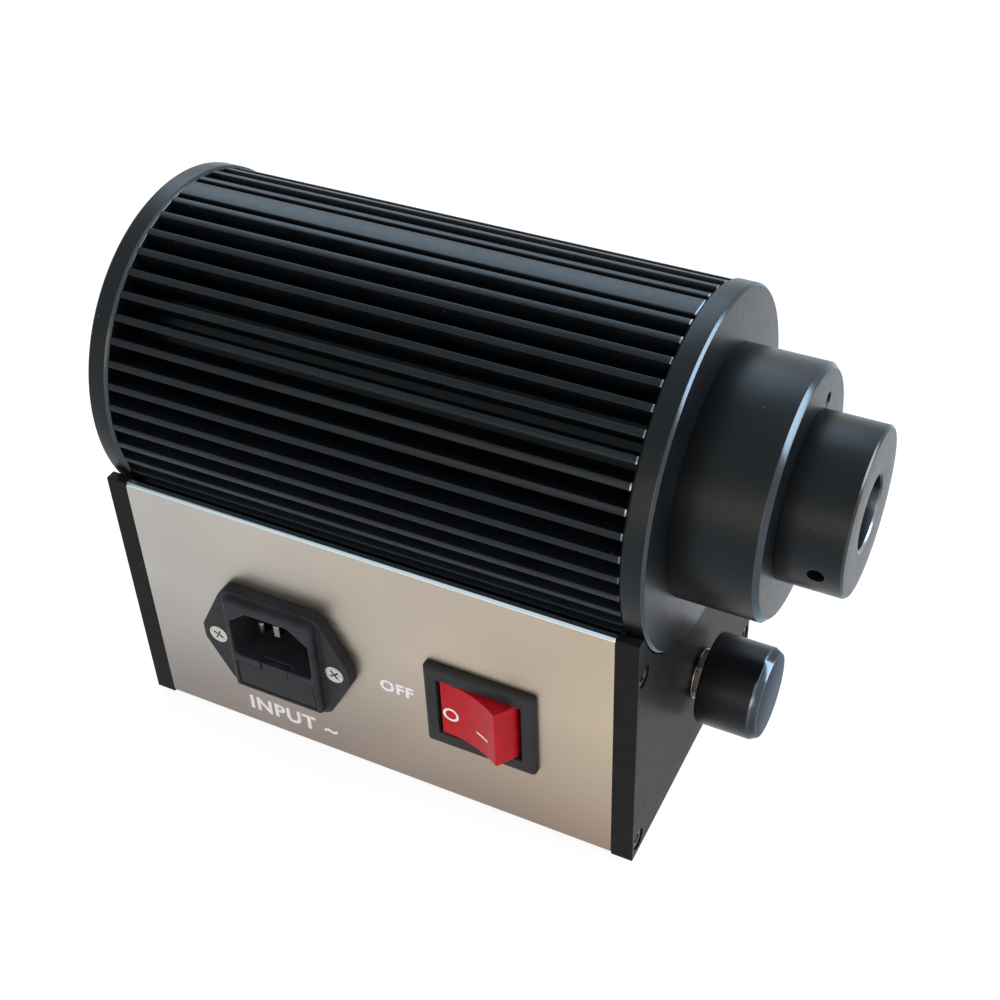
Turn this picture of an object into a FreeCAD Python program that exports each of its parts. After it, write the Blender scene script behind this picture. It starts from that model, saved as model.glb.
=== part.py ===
import FreeCAD, Part
import math
import os

# Fiber optic illuminator: a finned tube with the lamp and its optics, closed by two discs, carried in the
# notched end plates of a low box that holds the mains inlet, the switch, the dimmer and the driver board.
# Millimetres.  +X is the direction in which the light leaves, +Z is up, -Y is the side with the inlet.
# The origin is the middle of the base, at the level that the rubber feet stand on.

V = FreeCAD.Vector
X, Y, Z = V(1, 0, 0), V(0, 1, 0), V(0, 0, 1)
os.makedirs("parts", exist_ok=True)

# ---- box -----------------------------------------------------------------------------------------------
foot_h, foot_r, foot_in_x, foot_in_y = 2.0, 5.0, 16.25, 12.2
box_w, box_h, panel_len = 88.4, 78.0, 136.5
panel_t, plate_t, panel_bend, opening_cover = 2.0, 6.0, 1.5, 0.4
port_r, port_inset, port_low, port_drop, head_sunk, plate_screw_len = 2.9, 3.9, 4.7, 13.0, 0.4, 12.0

# ---- tube ----------------------------------------------------------------------------------------------
tube_clear, least_rise, tube_shift = 4.58, 18.6, 0.7
fin_r, root_r, bore_r, fin_count = 44.5, 32.0, 20.5, 48
fin_tip_w, fin_root_w, land_w, land_root_w = 1.85, 2.3, 6.5, 4.4
disc_over, disc_t, disc_chamfer, notch_gap = 0.5, 6.0, 0.7, 0.3
disc_screw_in, disc_screw_len, disc_thread_len, aperture_r = 4.8, 12.0, 14.0, 16.0

# ---- optics --------------------------------------------------------------------------------------------
nose_r, nose_len, nose_chamfer, spigot_r, spigot_len = 31.25, 21.3, 1.3, 22.6, 6.0
spanner_hole_r, spanner_hole_out, spanner_hole_deg, spanner_hole_deep = 1.6, 2.0, 35.0, 4.0
lens_r, lens_edge, lens_rise, lens_lip, lens_gap, ring_t, ring_wall = 19.0, 3.0, 4.0, 3.0, 0.05, 3.0, 2.5
adapter_r, adapter_len, guide_r, adapter_spigot_r = 20.6, 15.85, 9.0, 12.0
adapter_chamfer, guide_chamfer = 0.6, 0.5
clamp_back, clamp_below_deg, clamp_len, clamp_clear = 6.1, 14.0, 8.0, 0.3
lamp_back, carrier_len, led_board_r, led_board_t = 18.95, 28.0, 13.0, 1.6
led_side, led_t, dome_r, led_screw_y, led_screw_len, lead_pad = 10.0, 1.5, 4.0, 9.0, 8.0, 9.0
lead_hole_r, lead_hole_back = 3.2, 12.15

# ---- inlet ---------------------------------------------------------------------------------------------
inlet_share, inlet_below_mid, flange_t, block_out, inlet_body_deep = 0.3143, 3.0, 3.2, 5.8, 18.0
socket_w, socket_low, socket_high, socket_deep = 23.9, -2.1, 14.3, 18.0
socket_corner_w, socket_corner_h, socket_round, socket_aside = 5.7, 4.5, 1.6, 0.6
block_wall, block_roof, block_sill, block_round, block_rear_in = 1.65, 3.0, 1.6, 1.0, 0.6
ear_in, ear_out, ear_half_h, flange_side, flange_slope = 4.4, 4.6, 2.4, 2.0, 1.8
flange_roof, flange_sill, flange_roof_drop, flange_sill_drop, flange_round = 0.7, 1.8, 2.2, 1.4, 2.0
pin_w, pin_h, pin_space, line_pin_z, earth_pin_z = 2.0, 4.0, 7.0, 3.5, 7.5
line_pin_back, earth_pin_back, pin_tail, pin_chamfer = 6.2, 3.4, 8.0, 0.5
drawer_low, drawer_high, drawer_back, drawer_gap = -13.2, -5.0, 13.0, 0.2
drawer_lip_w, drawer_lip_t, fuse_back, fuse_r, fuse_len = 8.0, 1.8, 8.0, 2.6, 20.0
fuse_cap, fuse_glass_in, fuse_wall, inlet_screw_len, nut_m3, nut_m3_t = 5.0, 0.3, 0.3, 12.0, 5.5, 2.4

# ---- switch --------------------------------------------------------------------------------------------
switch_share, switch_below_mid = 0.3317, 2.8
switch_hole_w, switch_hole_h, switch_hole_deep = 23.5, 19.2, 13.0
bezel_side, bezel_top, bezel_t, bezel_round = 3.75, 4.4, 2.0, 1.2
switch_wall_w, switch_wall_h, switch_body_deep = 1.85, 1.6, 22.0
pivot_back, rocker_gap, rocker_tilt, trunnion_r, trunnion_len = 3.8, 0.2, 15.0, 1.25, 1.0
ridge_in, ridge_out, face_dip, end_in, end_out = 2.65, 8.1, 1.4, 0.55, 2.0
tab_w, tab_t, tab_len, tab_space_x, tab_space_z = 6.3, 0.8, 9.0, 7.0, 5.5

# ---- dimmer --------------------------------------------------------------------------------------------
dimmer_z, knob_r, knob_len, knob_gap, knob_chamfer_x, knob_chamfer_r = 27.7, 12.5, 16.5, 3.2, 2.0, 1.1
shaft_r, bush_r, bush_out, nut_flats, nut_t, washer_r, washer_t = 3.0, 4.5, 3.6, 12.0, 2.2, 7.0, 0.6
knob_cap, knob_recess_r, knob_recess, grub_back, grub_len = 3.5, 5.4, 1.6, 7.0, 6.0
can_r, can_len, shaft_in, grub_gap = 8.5, 8.0, 1.8, 0.1
wafer_half_w, wafer_drop, wafer_back, wafer_t = 6.0, 2.2, 4.0, 2.0
dimmer_tab_len, wafer_rows = 5.0, (-4, 0, 4)

# ---- brackets, board and what stands on it ---------------------------------------------------------------
sheet_t, saddle_w, saddle_top_w, saddle_foot, saddle_in = 2.0, 40.0, 14.0, 14.0, 16.25
saddle_screw_in, tube_screw_len, window_r = 6.0, 10.0, 6.5
board_gap, board_wall_gap, board_tab_gap, board_t, standoff_h = 4.0, 5.2, 0.2, 1.6, 6.0
board_hole_inset, board_screw_len, row_in, corner_w, lead_r = 4.0, 6.0, 5.5, 8.0, 0.7

# ---- fasteners and fits ----------------------------------------------------------------------------------
m3, m4, thread_gap, hole_gap, slide_gap = 1.5, 2.0, 0.03, 0.15, 0.05
m3_head_r, m3_head_h, m4_head_r = 2.75, 3.0, 3.9

# ---- places worked out from the sizes --------------------------------------------------------------------
floor_z = foot_h + panel_t
panel_y = -box_w / 2
inner_y = box_w / 2 - panel_t
axis_z = foot_h + box_h + max(math.sqrt(max(fin_r ** 2 - inner_y ** 2, 0)) + tube_clear, least_rise)
disc_r = fin_r + disc_over
disc_screw_ring = root_r - disc_screw_in
tube_front = panel_len / 2 + tube_shift
tube_back = tube_front - panel_len
nose_back = tube_front + disc_t
nose_front = nose_back + nose_len
adapter_front = nose_front + adapter_len
plate_front = panel_len / 2 + plate_t
block_half_w = socket_w / 2 + block_wall
block_up, block_down = socket_high + block_roof, block_sill - drawer_low
inlet_screw_x = block_half_w + ear_in
flange_half_w, flange_corner_x = inlet_screw_x + ear_out, block_half_w + flange_side
flange_up, flange_down = block_up + flange_roof, block_down + flange_sill
bezel_w, bezel_h = switch_hole_w + 2 * bezel_side, switch_hole_h + 2 * bezel_top
switch_body_w, switch_body_h = switch_hole_w + 2 * switch_wall_w, switch_hole_h + 2 * switch_wall_h
panel_free = panel_len - 2 * flange_half_w - bezel_w
flange_x = flange_half_w + panel_free * inlet_share - panel_len / 2
inlet_x = flange_x + socket_aside
switch_x = panel_len / 2 - panel_free * switch_share - bezel_w / 2
inlet_mid = foot_h + box_h / 2 - inlet_below_mid
switch_mid = foot_h + box_h / 2 - switch_below_mid
saddle_x = panel_len / 2 - saddle_in
saddle_pitch = 2 * saddle_x


def block(x, y, z):
    """Box between pairs of limits."""
    return Part.makeBox(x[1] - x[0], y[1] - y[0], z[1] - z[0], V(x[0], y[0], z[0]))


def rod(start, direction, radius, length):
    return Part.makeCylinder(radius, length, start, direction)


def prism(points, push):
    """Closed outline pushed along a vector."""
    return Part.Face(Part.makePolygon(points + points[:1])).extrude(push)


def turned(profile, start, direction):
    """Outline of (distance along, radius) pairs spun about a line."""
    points = [V(along, 0, radius) for along, radius in profile]
    solid = Part.Face(Part.makePolygon(points + points[:1])).revolve(V(0, 0, 0), X, 360)
    solid.Placement = FreeCAD.Placement(start, FreeCAD.Rotation(X, direction))
    return solid


def hexagon(start, direction, flats, length):
    corner = flats / math.sqrt(3)
    points = [V(0, corner * math.cos(math.radians(60 * k)), corner * math.sin(math.radians(60 * k)))
              for k in range(6)]
    solid = prism(points, X * length)
    solid.Placement = FreeCAD.Placement(start, FreeCAD.Rotation(X, direction))
    return solid


def cap_screw(seat, direction, radius, length):
    """Socket cap screw: seat is under its head, direction runs to its tip."""
    head_r, head_h = m3_head_r * radius / m3, m3_head_h * radius / m3
    profile = [(-head_h, 0), (-head_h, head_r), (0, head_r), (0, radius), (length, radius), (length, 0)]
    screw = turned(profile, seat, direction)
    return screw.cut(hexagon(seat - direction * head_h, direction, radius * 5 / 3, radius * 1.2))


def sunk_screw(top, direction, radius, head_r, length):
    """Countersunk screw: top is the middle of its flat head."""
    profile = [(0, 0), (0, head_r), (head_r - radius, radius), (length, radius), (length, 0)]
    return turned(profile, top, direction)


def sunk_hole(top, direction, radius, head_r, length):
    """Clearance hole with its cone, to be cut from a plate."""
    wide, hole = head_r + hole_gap, radius + hole_gap
    return turned([(0, 0), (0, wide), (wide - hole, hole), (length, hole), (length, 0)], top, direction)


def grub_screw(start, direction, radius, length):
    cone = turned([(0, 0), (0, radius), (length - radius / 2, radius), (length, radius / 2), (length, 0)],
                  start, direction)
    return cone.cut(hexagon(start, direction, radius, length * 0.35))


def lead(points):
    """Insulated wire: a six-sided section along straight runs with mitred corners."""
    ring = hexagon(points[0], (points[1] - points[0]).normalize(), lead_r * 2, 1.0)
    section = min(ring.Faces, key=lambda face: face.CenterOfMass.distanceToPoint(points[0])).OuterWire
    return Part.makePolygon(points).makePipeShell([section], True, False, 1)


def on_ring(radius, degrees, x):
    """Point round the tube's axis, at an angle from the top towards +Y."""
    angle = math.radians(degrees)
    return V(x, radius * math.sin(angle), axis_z + radius * math.cos(angle))


def save(name, *solids):
    shape = solids[0] if len(solids) == 1 else Part.makeCompound(list(solids))
    shape.exportStep("parts/" + name + ".step")


# ---- box -----------------------------------------------------------------------------------------------
port_y, port_z = box_w / 2 - port_inset, [foot_h + port_low, foot_h + box_h - port_drop]
ports = [(side * port_y, z) for side in (-1, 1) for z in port_z]
saddle_screw_y = saddle_w / 2 - saddle_screw_in
saddle_screw_x = saddle_x - (saddle_foot + sheet_t) / 2
saddle_steps = (0, -saddle_pitch)
saddle_screws = [(saddle_screw_x + step, side * saddle_screw_y) for step in saddle_steps for side in (-1, 1)]
board_top = floor_z + standoff_h + board_t
board_x, board_len = -saddle_foot / 2, saddle_pitch - saddle_foot - 2 * board_gap
board_front = panel_y + switch_body_deep + tab_len + board_tab_gap
board_rear = inner_y - board_wall_gap
board_start, board_edge = board_x - board_len / 2, board_x + board_len / 2
board_holes = [V(x, y, floor_z) for x in (board_start + board_hole_inset, board_edge - board_hole_inset)
               for y in (board_front + board_hole_inset, board_rear - board_hole_inset)]
flange_screws = [V(flange_x + side * inlet_screw_x, panel_y - flange_t, inlet_mid) for side in (-1, 1)]


def base_channel():
    """Extruded U-channel with a round screw port in each of its four corners."""
    bottom, top = foot_h, foot_h + box_h
    start = -panel_len / 2
    outer = block((start, -start), (-box_w / 2, box_w / 2), (bottom, top))
    bends = [edge for edge in outer.Edges if edge.BoundBox.ZMax < bottom + 0.01 and edge.BoundBox.XLength > 1]
    channel = outer.makeFillet(panel_bend, bends)
    channel = channel.cut(block((start - 1, 1 - start), (panel_t - box_w / 2, box_w / 2 - panel_t),
                                (floor_z, top + 1)))
    for y, z in ports:
        wall = box_w / 2
        boss = rod(V(start, y, z), X, port_r, panel_len)
        channel = channel.fuse(boss.common(block((start, -start), (-wall, wall), (bottom, top))))
    for y, z in ports:
        channel = channel.cut(rod(V(start - 1, y, z), X, m3 + thread_gap, panel_len + 2))
    return channel.cut(Part.makeCompound(panel_openings() + floor_holes())).removeSplitter()


def panel_openings():
    """Cut-outs in the side panel for the inlet, its screws and the switch."""
    through, depth = panel_y - 1, panel_t + 2
    half_w, cover = block_half_w - opening_cover, opening_cover
    inlet = block((inlet_x - half_w, inlet_x + half_w), (through, through + depth),
                  (inlet_mid - block_down + cover, inlet_mid + block_up - cover))
    half_w, half_h = switch_body_w / 2 + hole_gap, switch_body_h / 2 + hole_gap
    switch = block((switch_x - half_w, switch_x + half_w), (through, through + depth),
                   (switch_mid - half_h, switch_mid + half_h))
    screws = [rod(V(seat.x, through, seat.z), Y, m3 + hole_gap, depth) for seat in flange_screws]
    return [inlet, switch] + screws


def floor_holes():
    """Countersunk holes under the two saddles."""
    return [sunk_hole(V(x, y, foot_h), Z, m3, m3_head_r, panel_t + 1) for x, y in saddle_screws]


def end_plate(outer_face, outwards):
    """Plate with the round notch for the disc and four counterbored screw holes."""
    x = sorted((outer_face, outer_face - outwards * plate_t))
    plate = block(x, (-box_w / 2, box_w / 2), (foot_h, foot_h + box_h))
    plate = plate.cut(rod(V(x[0] - 1, 0, axis_z), X, disc_r + notch_gap, plate_t + 2))
    for y, z in ports:
        start, way = V(outer_face, y, z), X * -outwards
        plate = plate.cut(rod(start, way, m3 + hole_gap, plate_t))
        plate = plate.cut(rod(start, way, m3_head_r + hole_gap, m3_head_h + head_sunk))
    return plate


def plate_screws(outer_face, outwards):
    seat_x = outer_face - outwards * (m3_head_h + head_sunk)
    return [cap_screw(V(seat_x, y, z), X * -outwards, m3, plate_screw_len) for y, z in ports]


save("base_channel", base_channel())
front_plate = end_plate(plate_front, 1)
bush_hole = rod(V(0, 0, foot_h + dimmer_z), X, bush_r + hole_gap, plate_front + 1)
save("front_plate", front_plate.cut(bush_hole))
save("rear_plate", end_plate(-plate_front, -1))
save("front_plate_screws", *plate_screws(plate_front, 1))
save("rear_plate_screws", *plate_screws(-plate_front, -1))
foot = [(0, 0), (0, foot_r * 0.9), (foot_h, foot_r), (foot_h, 0)]
save("rubber_feet", *[turned(foot, V(sx * (plate_front - foot_in_x), sy * (box_w / 2 - foot_in_y), 0), Z)
                      for sx in (-1, 1) for sy in (-1, 1)])

# ---- tube ----------------------------------------------------------------------------------------------
disc_holes = [45 + 90 * k for k in range(4)]
lead_hole_x = tube_front - lead_hole_back
saddle_top_x = saddle_x - saddle_foot / 2


def fin_angles(k):
    """Middle of fin k, and how far its foot and its tip reach to each side, in degrees."""
    land = k % (fin_count // 2) == 0
    tip, root = (land_w, land_root_w) if land else (fin_tip_w, fin_root_w)
    middle = k * 360 / fin_count
    return middle, math.degrees(math.asin(root / 2 / root_r)), math.degrees(math.asin(tip / 2 / fin_r))


def heat_sink():
    """Extrusion: fins that taper outwards round a thick core, and a broad land at the crown and the foot."""
    outline = []
    for k in range(fin_count):
        middle, foot_half, tip_half = fin_angles(k)
        tips = (-1, 0, 1) if k % (fin_count // 2) == 0 else (-1, 1)
        outline.append(on_ring(root_r, middle - foot_half, tube_back))
        outline += [on_ring(fin_r, middle + side * tip_half, tube_back) for side in tips]
        outline.append(on_ring(root_r, middle + foot_half, tube_back))
    cuts = [rod(V(tube_back - 1, 0, axis_z), X, bore_r, panel_len + 2),
            rod(V(lead_hole_x, 0, axis_z), -Z, lead_hole_r, fin_r + 1)]
    for degrees in disc_holes:
        cuts.append(rod(on_ring(disc_screw_ring, degrees, tube_back), X, m4 + thread_gap, disc_thread_len))
        cuts.append(rod(on_ring(disc_screw_ring, degrees, tube_front), -X, m4 + thread_gap, disc_thread_len))
    for step in saddle_steps:
        start = V(saddle_top_x + step, 0, axis_z - fin_r - 1)
        cuts.append(rod(start, Z, m4 + thread_gap, tube_screw_len + 1))
    return prism(outline, X * panel_len).cut(Part.makeCompound(cuts))


def disc_profile(start, bore):
    """Disc outline between its chamfered edges."""
    end = start + disc_t
    return [(start, bore), (start, disc_r - disc_chamfer), (start + disc_chamfer, disc_r),
            (end - disc_chamfer, disc_r), (end, disc_r - disc_chamfer), (end, bore)]


def disc_screw(face_x, way, degrees):
    return sunk_screw(on_ring(disc_screw_ring, degrees, face_x), way, m4, m4_head_r, disc_t + disc_screw_len)


def disc_hole(face_x, way, degrees):
    return sunk_hole(on_ring(disc_screw_ring, degrees, face_x), way, m4, m4_head_r, disc_t + 1)


centre = V(0, 0, axis_z)
front_disc = turned(disc_profile(tube_front, aperture_r), centre, X)
spigot = rod(V(nose_back, 0, axis_z), X, spigot_r, spigot_len)
front_disc = front_disc.fuse(spigot).cut(rod(V(tube_front, 0, axis_z), X, aperture_r, disc_t + spigot_len))
rear_disc = turned(disc_profile(tube_back - disc_t, 0), centre, X)
for degrees in disc_holes:
    front_disc = front_disc.cut(disc_hole(nose_back, -X, degrees))
    rear_disc = rear_disc.cut(disc_hole(tube_back - disc_t, X, degrees))
save("heat_sink", heat_sink())
save("front_disc", front_disc)
save("rear_disc", rear_disc)
save("front_disc_screws", *[disc_screw(nose_back, -X, degrees) for degrees in disc_holes])
save("rear_disc_screws", *[disc_screw(tube_back - disc_t, X, degrees) for degrees in disc_holes])

# ---- optics --------------------------------------------------------------------------------------------
thread_end = nose_back + spigot_len + hole_gap
ring_end = thread_end + ring_t
lens_end = ring_end + lens_edge
lens_ball = (lens_r ** 2 + lens_rise ** 2) / (2 * lens_rise)
adapter_back = lens_end + lens_rise + lens_gap
board_back = tube_front - lamp_back
board_face = board_back + led_board_t
clamp_x = adapter_front - clamp_back
clamp_angle = math.radians(clamp_below_deg)
clamp_in = V(0, math.cos(clamp_angle), math.sin(clamp_angle))


def lens_face(radius):
    """How far along the axis the lens's curved face lies, at a radius."""
    return lens_end + lens_rise - lens_ball + math.sqrt(lens_ball ** 2 - radius ** 2)


def nose_barrel():
    """Barrel that screws over the disc's spigot, with a stepped bore for the lens and the adapter."""
    lip_r, lens_bore, rim = lens_r - lens_lip, lens_r + slide_gap, 0.4
    thread_r, spigot_bore = spigot_r + thread_gap, adapter_spigot_r + thread_gap
    seat = lens_face(lip_r) + thread_gap
    profile = [(nose_back, thread_r), (nose_back, nose_r), (nose_front - nose_chamfer, nose_r),
               (nose_front, nose_r - nose_chamfer), (nose_front, spigot_bore), (adapter_back, spigot_bore),
               (adapter_back, lip_r), (seat, lip_r), (seat, lens_bore), (thread_end, lens_bore),
               (thread_end, thread_r)]
    barrel = turned(profile, centre, X)
    hole = on_ring(adapter_r + spanner_hole_out, spanner_hole_deg, nose_front)
    return barrel.cut(turned([(0, 0), (0, spanner_hole_r + rim), (rim, spanner_hole_r),
                              (spanner_hole_deep, spanner_hole_r), (spanner_hole_deep, 0)], hole, -X))


def condenser_lens():
    """Plano-convex lens, its flat face to the lamp."""
    front, half = lens_face(0), lens_r / 2
    curve = Part.Arc(V(lens_end, 0, lens_r), V(lens_face(half), 0, half), V(front, 0, 0)).toShape()
    flat = [V(front, 0, 0), V(ring_end, 0, 0), V(ring_end, 0, lens_r), V(lens_end, 0, lens_r)]
    lines = [Part.makeLine(a, b) for a, b in zip(flat, flat[1:])]
    lens = Part.Face(Part.Wire([curve] + lines)).revolve(V(0, 0, 0), X, 360)
    return lens.translated(centre)


def fibre_adapter():
    """Turned adapter: a spigot in the nose, a bore for the light guide and a tapped clamp hole."""
    profile = [(adapter_back, guide_r), (adapter_back, adapter_spigot_r), (nose_front, adapter_spigot_r),
               (nose_front, adapter_r), (adapter_front - adapter_chamfer, adapter_r),
               (adapter_front, adapter_r - adapter_chamfer), (adapter_front, guide_r + guide_chamfer),
               (adapter_front - guide_chamfer, guide_r)]
    adapter = turned(profile, centre, X)
    return adapter.cut(rod(V(clamp_x, 0, axis_z), -clamp_in, m4 + slide_gap, adapter_r + 1))


def led_carrier():
    """Heat spreader that slides into the tube's bore, with a flat on which the lamp board sits."""
    outer, soft = bore_r - hole_gap, 0.5
    profile = [(-carrier_len, 0), (-carrier_len, outer - soft), (soft - carrier_len, outer), (0, outer),
               (0, 0)]
    carrier = turned(profile, V(board_back, 0, axis_z), X)
    for side in (-1, 1):
        seat = V(board_back, side * led_screw_y, axis_z)
        carrier = carrier.cut(rod(seat, -X, m3 + thread_gap, led_screw_len))
    return carrier


def led_board():
    board = rod(V(board_back, 0, axis_z), X, led_board_r, led_board_t)
    for side in (-1, 1):
        board = board.cut(rod(V(board_back, side * led_screw_y, axis_z), X, m3 + hole_gap, led_board_t))
    return board


def led_emitter():
    """Square package with a clear dome."""
    half = led_side / 2
    package = block((board_face, board_face + led_t), (-half, half), (axis_z - half, axis_z + half))
    dome = Part.makeSphere(dome_r, V(board_face + led_t, 0, axis_z))
    return package.fuse(dome.cut(block((0, board_face + led_t), (-half, half), (0, axis_z + half))))


clamp_start = clamp_in * -(guide_r + clamp_clear + clamp_len)
save("nose_barrel", nose_barrel())
save("lens_ring", turned([(thread_end, lens_r - ring_wall), (thread_end, lens_r - slide_gap),
                          (ring_end, lens_r - slide_gap), (ring_end, lens_r - ring_wall)], centre, X))
save("condenser_lens", condenser_lens())
save("fibre_adapter", fibre_adapter())
save("clamp_screw", grub_screw(V(clamp_x, 0, axis_z) + clamp_start, clamp_in, m4, clamp_len))
save("led_carrier", led_carrier())
save("led_board", led_board())
save("led_emitter", led_emitter())
save("led_screws", *[cap_screw(V(board_face, side * led_screw_y, axis_z), -X, m3, led_screw_len)
                     for side in (-1, 1)])

# ---- inlet ---------------------------------------------------------------------------------------------
block_face = panel_y - block_out
drawer_face, drawer_w = block_face + drawer_gap, socket_w - 2 * drawer_gap


def in_panel(points, middle, out):
    """Outline given across and up from a point of the inlet's screw line, at a distance out of the panel."""
    return [V(middle + across, panel_y - out, inlet_mid + up) for across, up in points]


def mirrored(points):
    return points + [(-across, up) for across, up in reversed(points)]


def inlet_body():
    """Moulded inlet: a six-sided flange with two ears, a raised socket and the slot of the fuse drawer."""
    shoulder = flange_corner_x - flange_slope
    outline = mirrored([(shoulder, flange_up), (flange_corner_x, flange_up - flange_roof_drop),
                        (flange_half_w, ear_half_h), (flange_half_w, -ear_half_h),
                        (flange_corner_x, flange_sill_drop - flange_down), (shoulder, -flange_down)])
    flange = prism(in_panel(outline, flange_x, 0), Y * -flange_t)
    upright = [edge for edge in flange.Edges if edge.BoundBox.YLength > flange_t / 2]
    flange = flange.makeFillet(flange_round, upright)
    half, low, high = block_half_w, inlet_mid - block_down, inlet_mid + block_up
    raised = block((inlet_x - half, inlet_x + half), (block_face, panel_y), (low, high))
    front = [edge for edge in raised.Edges if edge.BoundBox.YMax < block_face + 0.01]
    corners = [edge for edge in raised.Edges if edge.BoundBox.YLength > block_out / 2]
    raised = raised.makeFillet(block_round, front + corners)
    rear = block((inlet_x - half + block_rear_in, inlet_x + half - block_rear_in),
                 (panel_y, panel_y + inlet_body_deep), (low + block_rear_in, high - block_rear_in))
    body = flange.fuse([raised, rear])
    return body.cut(Part.makeCompound([socket(), drawer_slot()] + inlet_holes()))


def socket():
    """Cavity with its two upper corners cut off and its lower corners rounded."""
    half = socket_w / 2
    outline = mirrored([(half - socket_corner_w, socket_high), (half, socket_high - socket_corner_h),
                        (half, socket_low)])
    cavity = prism(in_panel(outline, inlet_x, block_out + 1), Y * (socket_deep + 1))
    lower = [edge for edge in cavity.Edges if edge.BoundBox.YLength > socket_deep / 2
             and edge.BoundBox.ZMax < inlet_mid + socket_low + 0.01]
    return cavity.makeFillet(socket_round, lower)


def drawer_slot():
    half = drawer_w / 2 + drawer_gap
    slot = block((inlet_x - half, inlet_x + half), (block_face - 1, panel_y + drawer_back + drawer_gap),
                 (inlet_mid + drawer_low - drawer_gap, inlet_mid + drawer_high + drawer_gap))
    lip = drawer_lip_w / 2 + drawer_gap
    notch = block((inlet_x - lip, inlet_x + lip), (block_face - 1, drawer_face + drawer_lip_t + drawer_gap),
                  (inlet_mid + drawer_high, inlet_mid + socket_low + slide_gap))
    return slot.fuse(notch)


def pin_slots(gap):
    """The two line pins and the earth pin, grown by a gap."""
    pins = []
    for across, up, back in ((-pin_space, line_pin_z, line_pin_back), (pin_space, line_pin_z, line_pin_back),
                             (0, earth_pin_z, earth_pin_back)):
        x, z = inlet_x + across, inlet_mid + up
        pins.append(block((x - pin_w / 2 - gap, x + pin_w / 2 + gap), (block_face + back, tail_y),
                          (z - pin_h / 2 - gap, z + pin_h / 2 + gap)))
    return pins


def inlet_holes():
    screws = [sunk_hole(seat, Y, m3, m3_head_r, flange_t) for seat in flange_screws]
    return pin_slots(slide_gap) + screws


def blunt_pin(pin):
    tip = [edge for edge in pin.Edges if edge.BoundBox.YMax < pin.BoundBox.YMin + 0.01]
    return pin.makeChamfer(pin_chamfer, tip)


def fuse_drawer():
    """Drawer with a finger lip and a trough across it for the fuse."""
    half, low, high = drawer_w / 2, inlet_mid + drawer_low, inlet_mid + drawer_high
    drawer = block((inlet_x - half, inlet_x + half), (drawer_face, panel_y + drawer_back), (low, high))
    lip = drawer_lip_w / 2
    tongue = block((inlet_x - lip, inlet_x + lip), (drawer_face, drawer_face + drawer_lip_t),
                   (high, inlet_mid + socket_low - drawer_gap))
    half_trough, around = fuse_len / 2 + fuse_wall, fuse_r + fuse_wall
    trough = block((inlet_x - half_trough, inlet_x + half_trough),
                   (panel_y + fuse_back - around, panel_y + fuse_back + around),
                   (fuse_z, high + 1))
    round_floor = rod(V(inlet_x - half_trough, panel_y + fuse_back, fuse_z), X, around, 2 * half_trough)
    return drawer.fuse(tongue).cut(trough.fuse(round_floor))


tail_y = panel_y + inlet_body_deep + pin_tail
fuse_z = inlet_mid + (drawer_low + drawer_high) / 2
fuse_profile = [(0, 0), (0, fuse_r), (fuse_cap, fuse_r), (fuse_cap, fuse_r - fuse_glass_in),
                (fuse_len - fuse_cap, fuse_r - fuse_glass_in), (fuse_len - fuse_cap, fuse_r),
                (fuse_len, fuse_r), (fuse_len, 0)]
save("inlet_body", inlet_body())
save("inlet_pins", *[blunt_pin(pin) for pin in pin_slots(0)])
save("inlet_screws", *[sunk_screw(seat, Y, m3, m3_head_r, inlet_screw_len) for seat in flange_screws])
save("inlet_nuts", *[hexagon(V(seat.x, panel_y + panel_t, seat.z), Y, nut_m3, nut_m3_t)
                     .cut(rod(V(seat.x, panel_y + panel_t, seat.z), Y, m3 + thread_gap, nut_m3_t))
                     for seat in flange_screws])
save("fuse_drawer", fuse_drawer())
save("fuse", turned(fuse_profile, V(inlet_x - fuse_len / 2, panel_y + fuse_back, fuse_z), X))

# ---- switch --------------------------------------------------------------------------------------------
pivot = V(switch_x, panel_y + pivot_back, switch_mid)
rocker_h = switch_hole_h - 2 * rocker_gap
ridge_x, end_x = switch_hole_w / 2 - ridge_in, switch_hole_w / 2 - end_in


def centred(width, height, y):
    """Box round the switch's middle line."""
    half_w, half_h = width / 2, height / 2
    return block((switch_x - half_w, switch_x + half_w), y, (switch_mid - half_h, switch_mid + half_h))


def switch_body():
    """Bezel with soft front edges on a snap-in body that is open for the rocker."""
    bezel = centred(bezel_w, bezel_h, (panel_y - bezel_t, panel_y))
    front = [edge for edge in bezel.Edges if edge.BoundBox.YMax < panel_y - bezel_t + 0.01]
    corners = [edge for edge in bezel.Edges if edge.BoundBox.YLength > bezel_t / 2]
    bezel = bezel.makeFillet(bezel_round, front + corners)
    body = bezel.fuse(centred(switch_body_w, switch_body_h, (panel_y, panel_y + switch_body_deep)))
    hole_y = (panel_y - bezel_t - 1, panel_y + switch_hole_deep)
    body = body.cut(centred(switch_hole_w, switch_hole_h, hole_y))
    reach = switch_hole_h / 2 + trunnion_len + hole_gap
    return body.cut(rod(pivot - Z * reach, Z, trunnion_r + slide_gap, 2 * reach))


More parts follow.
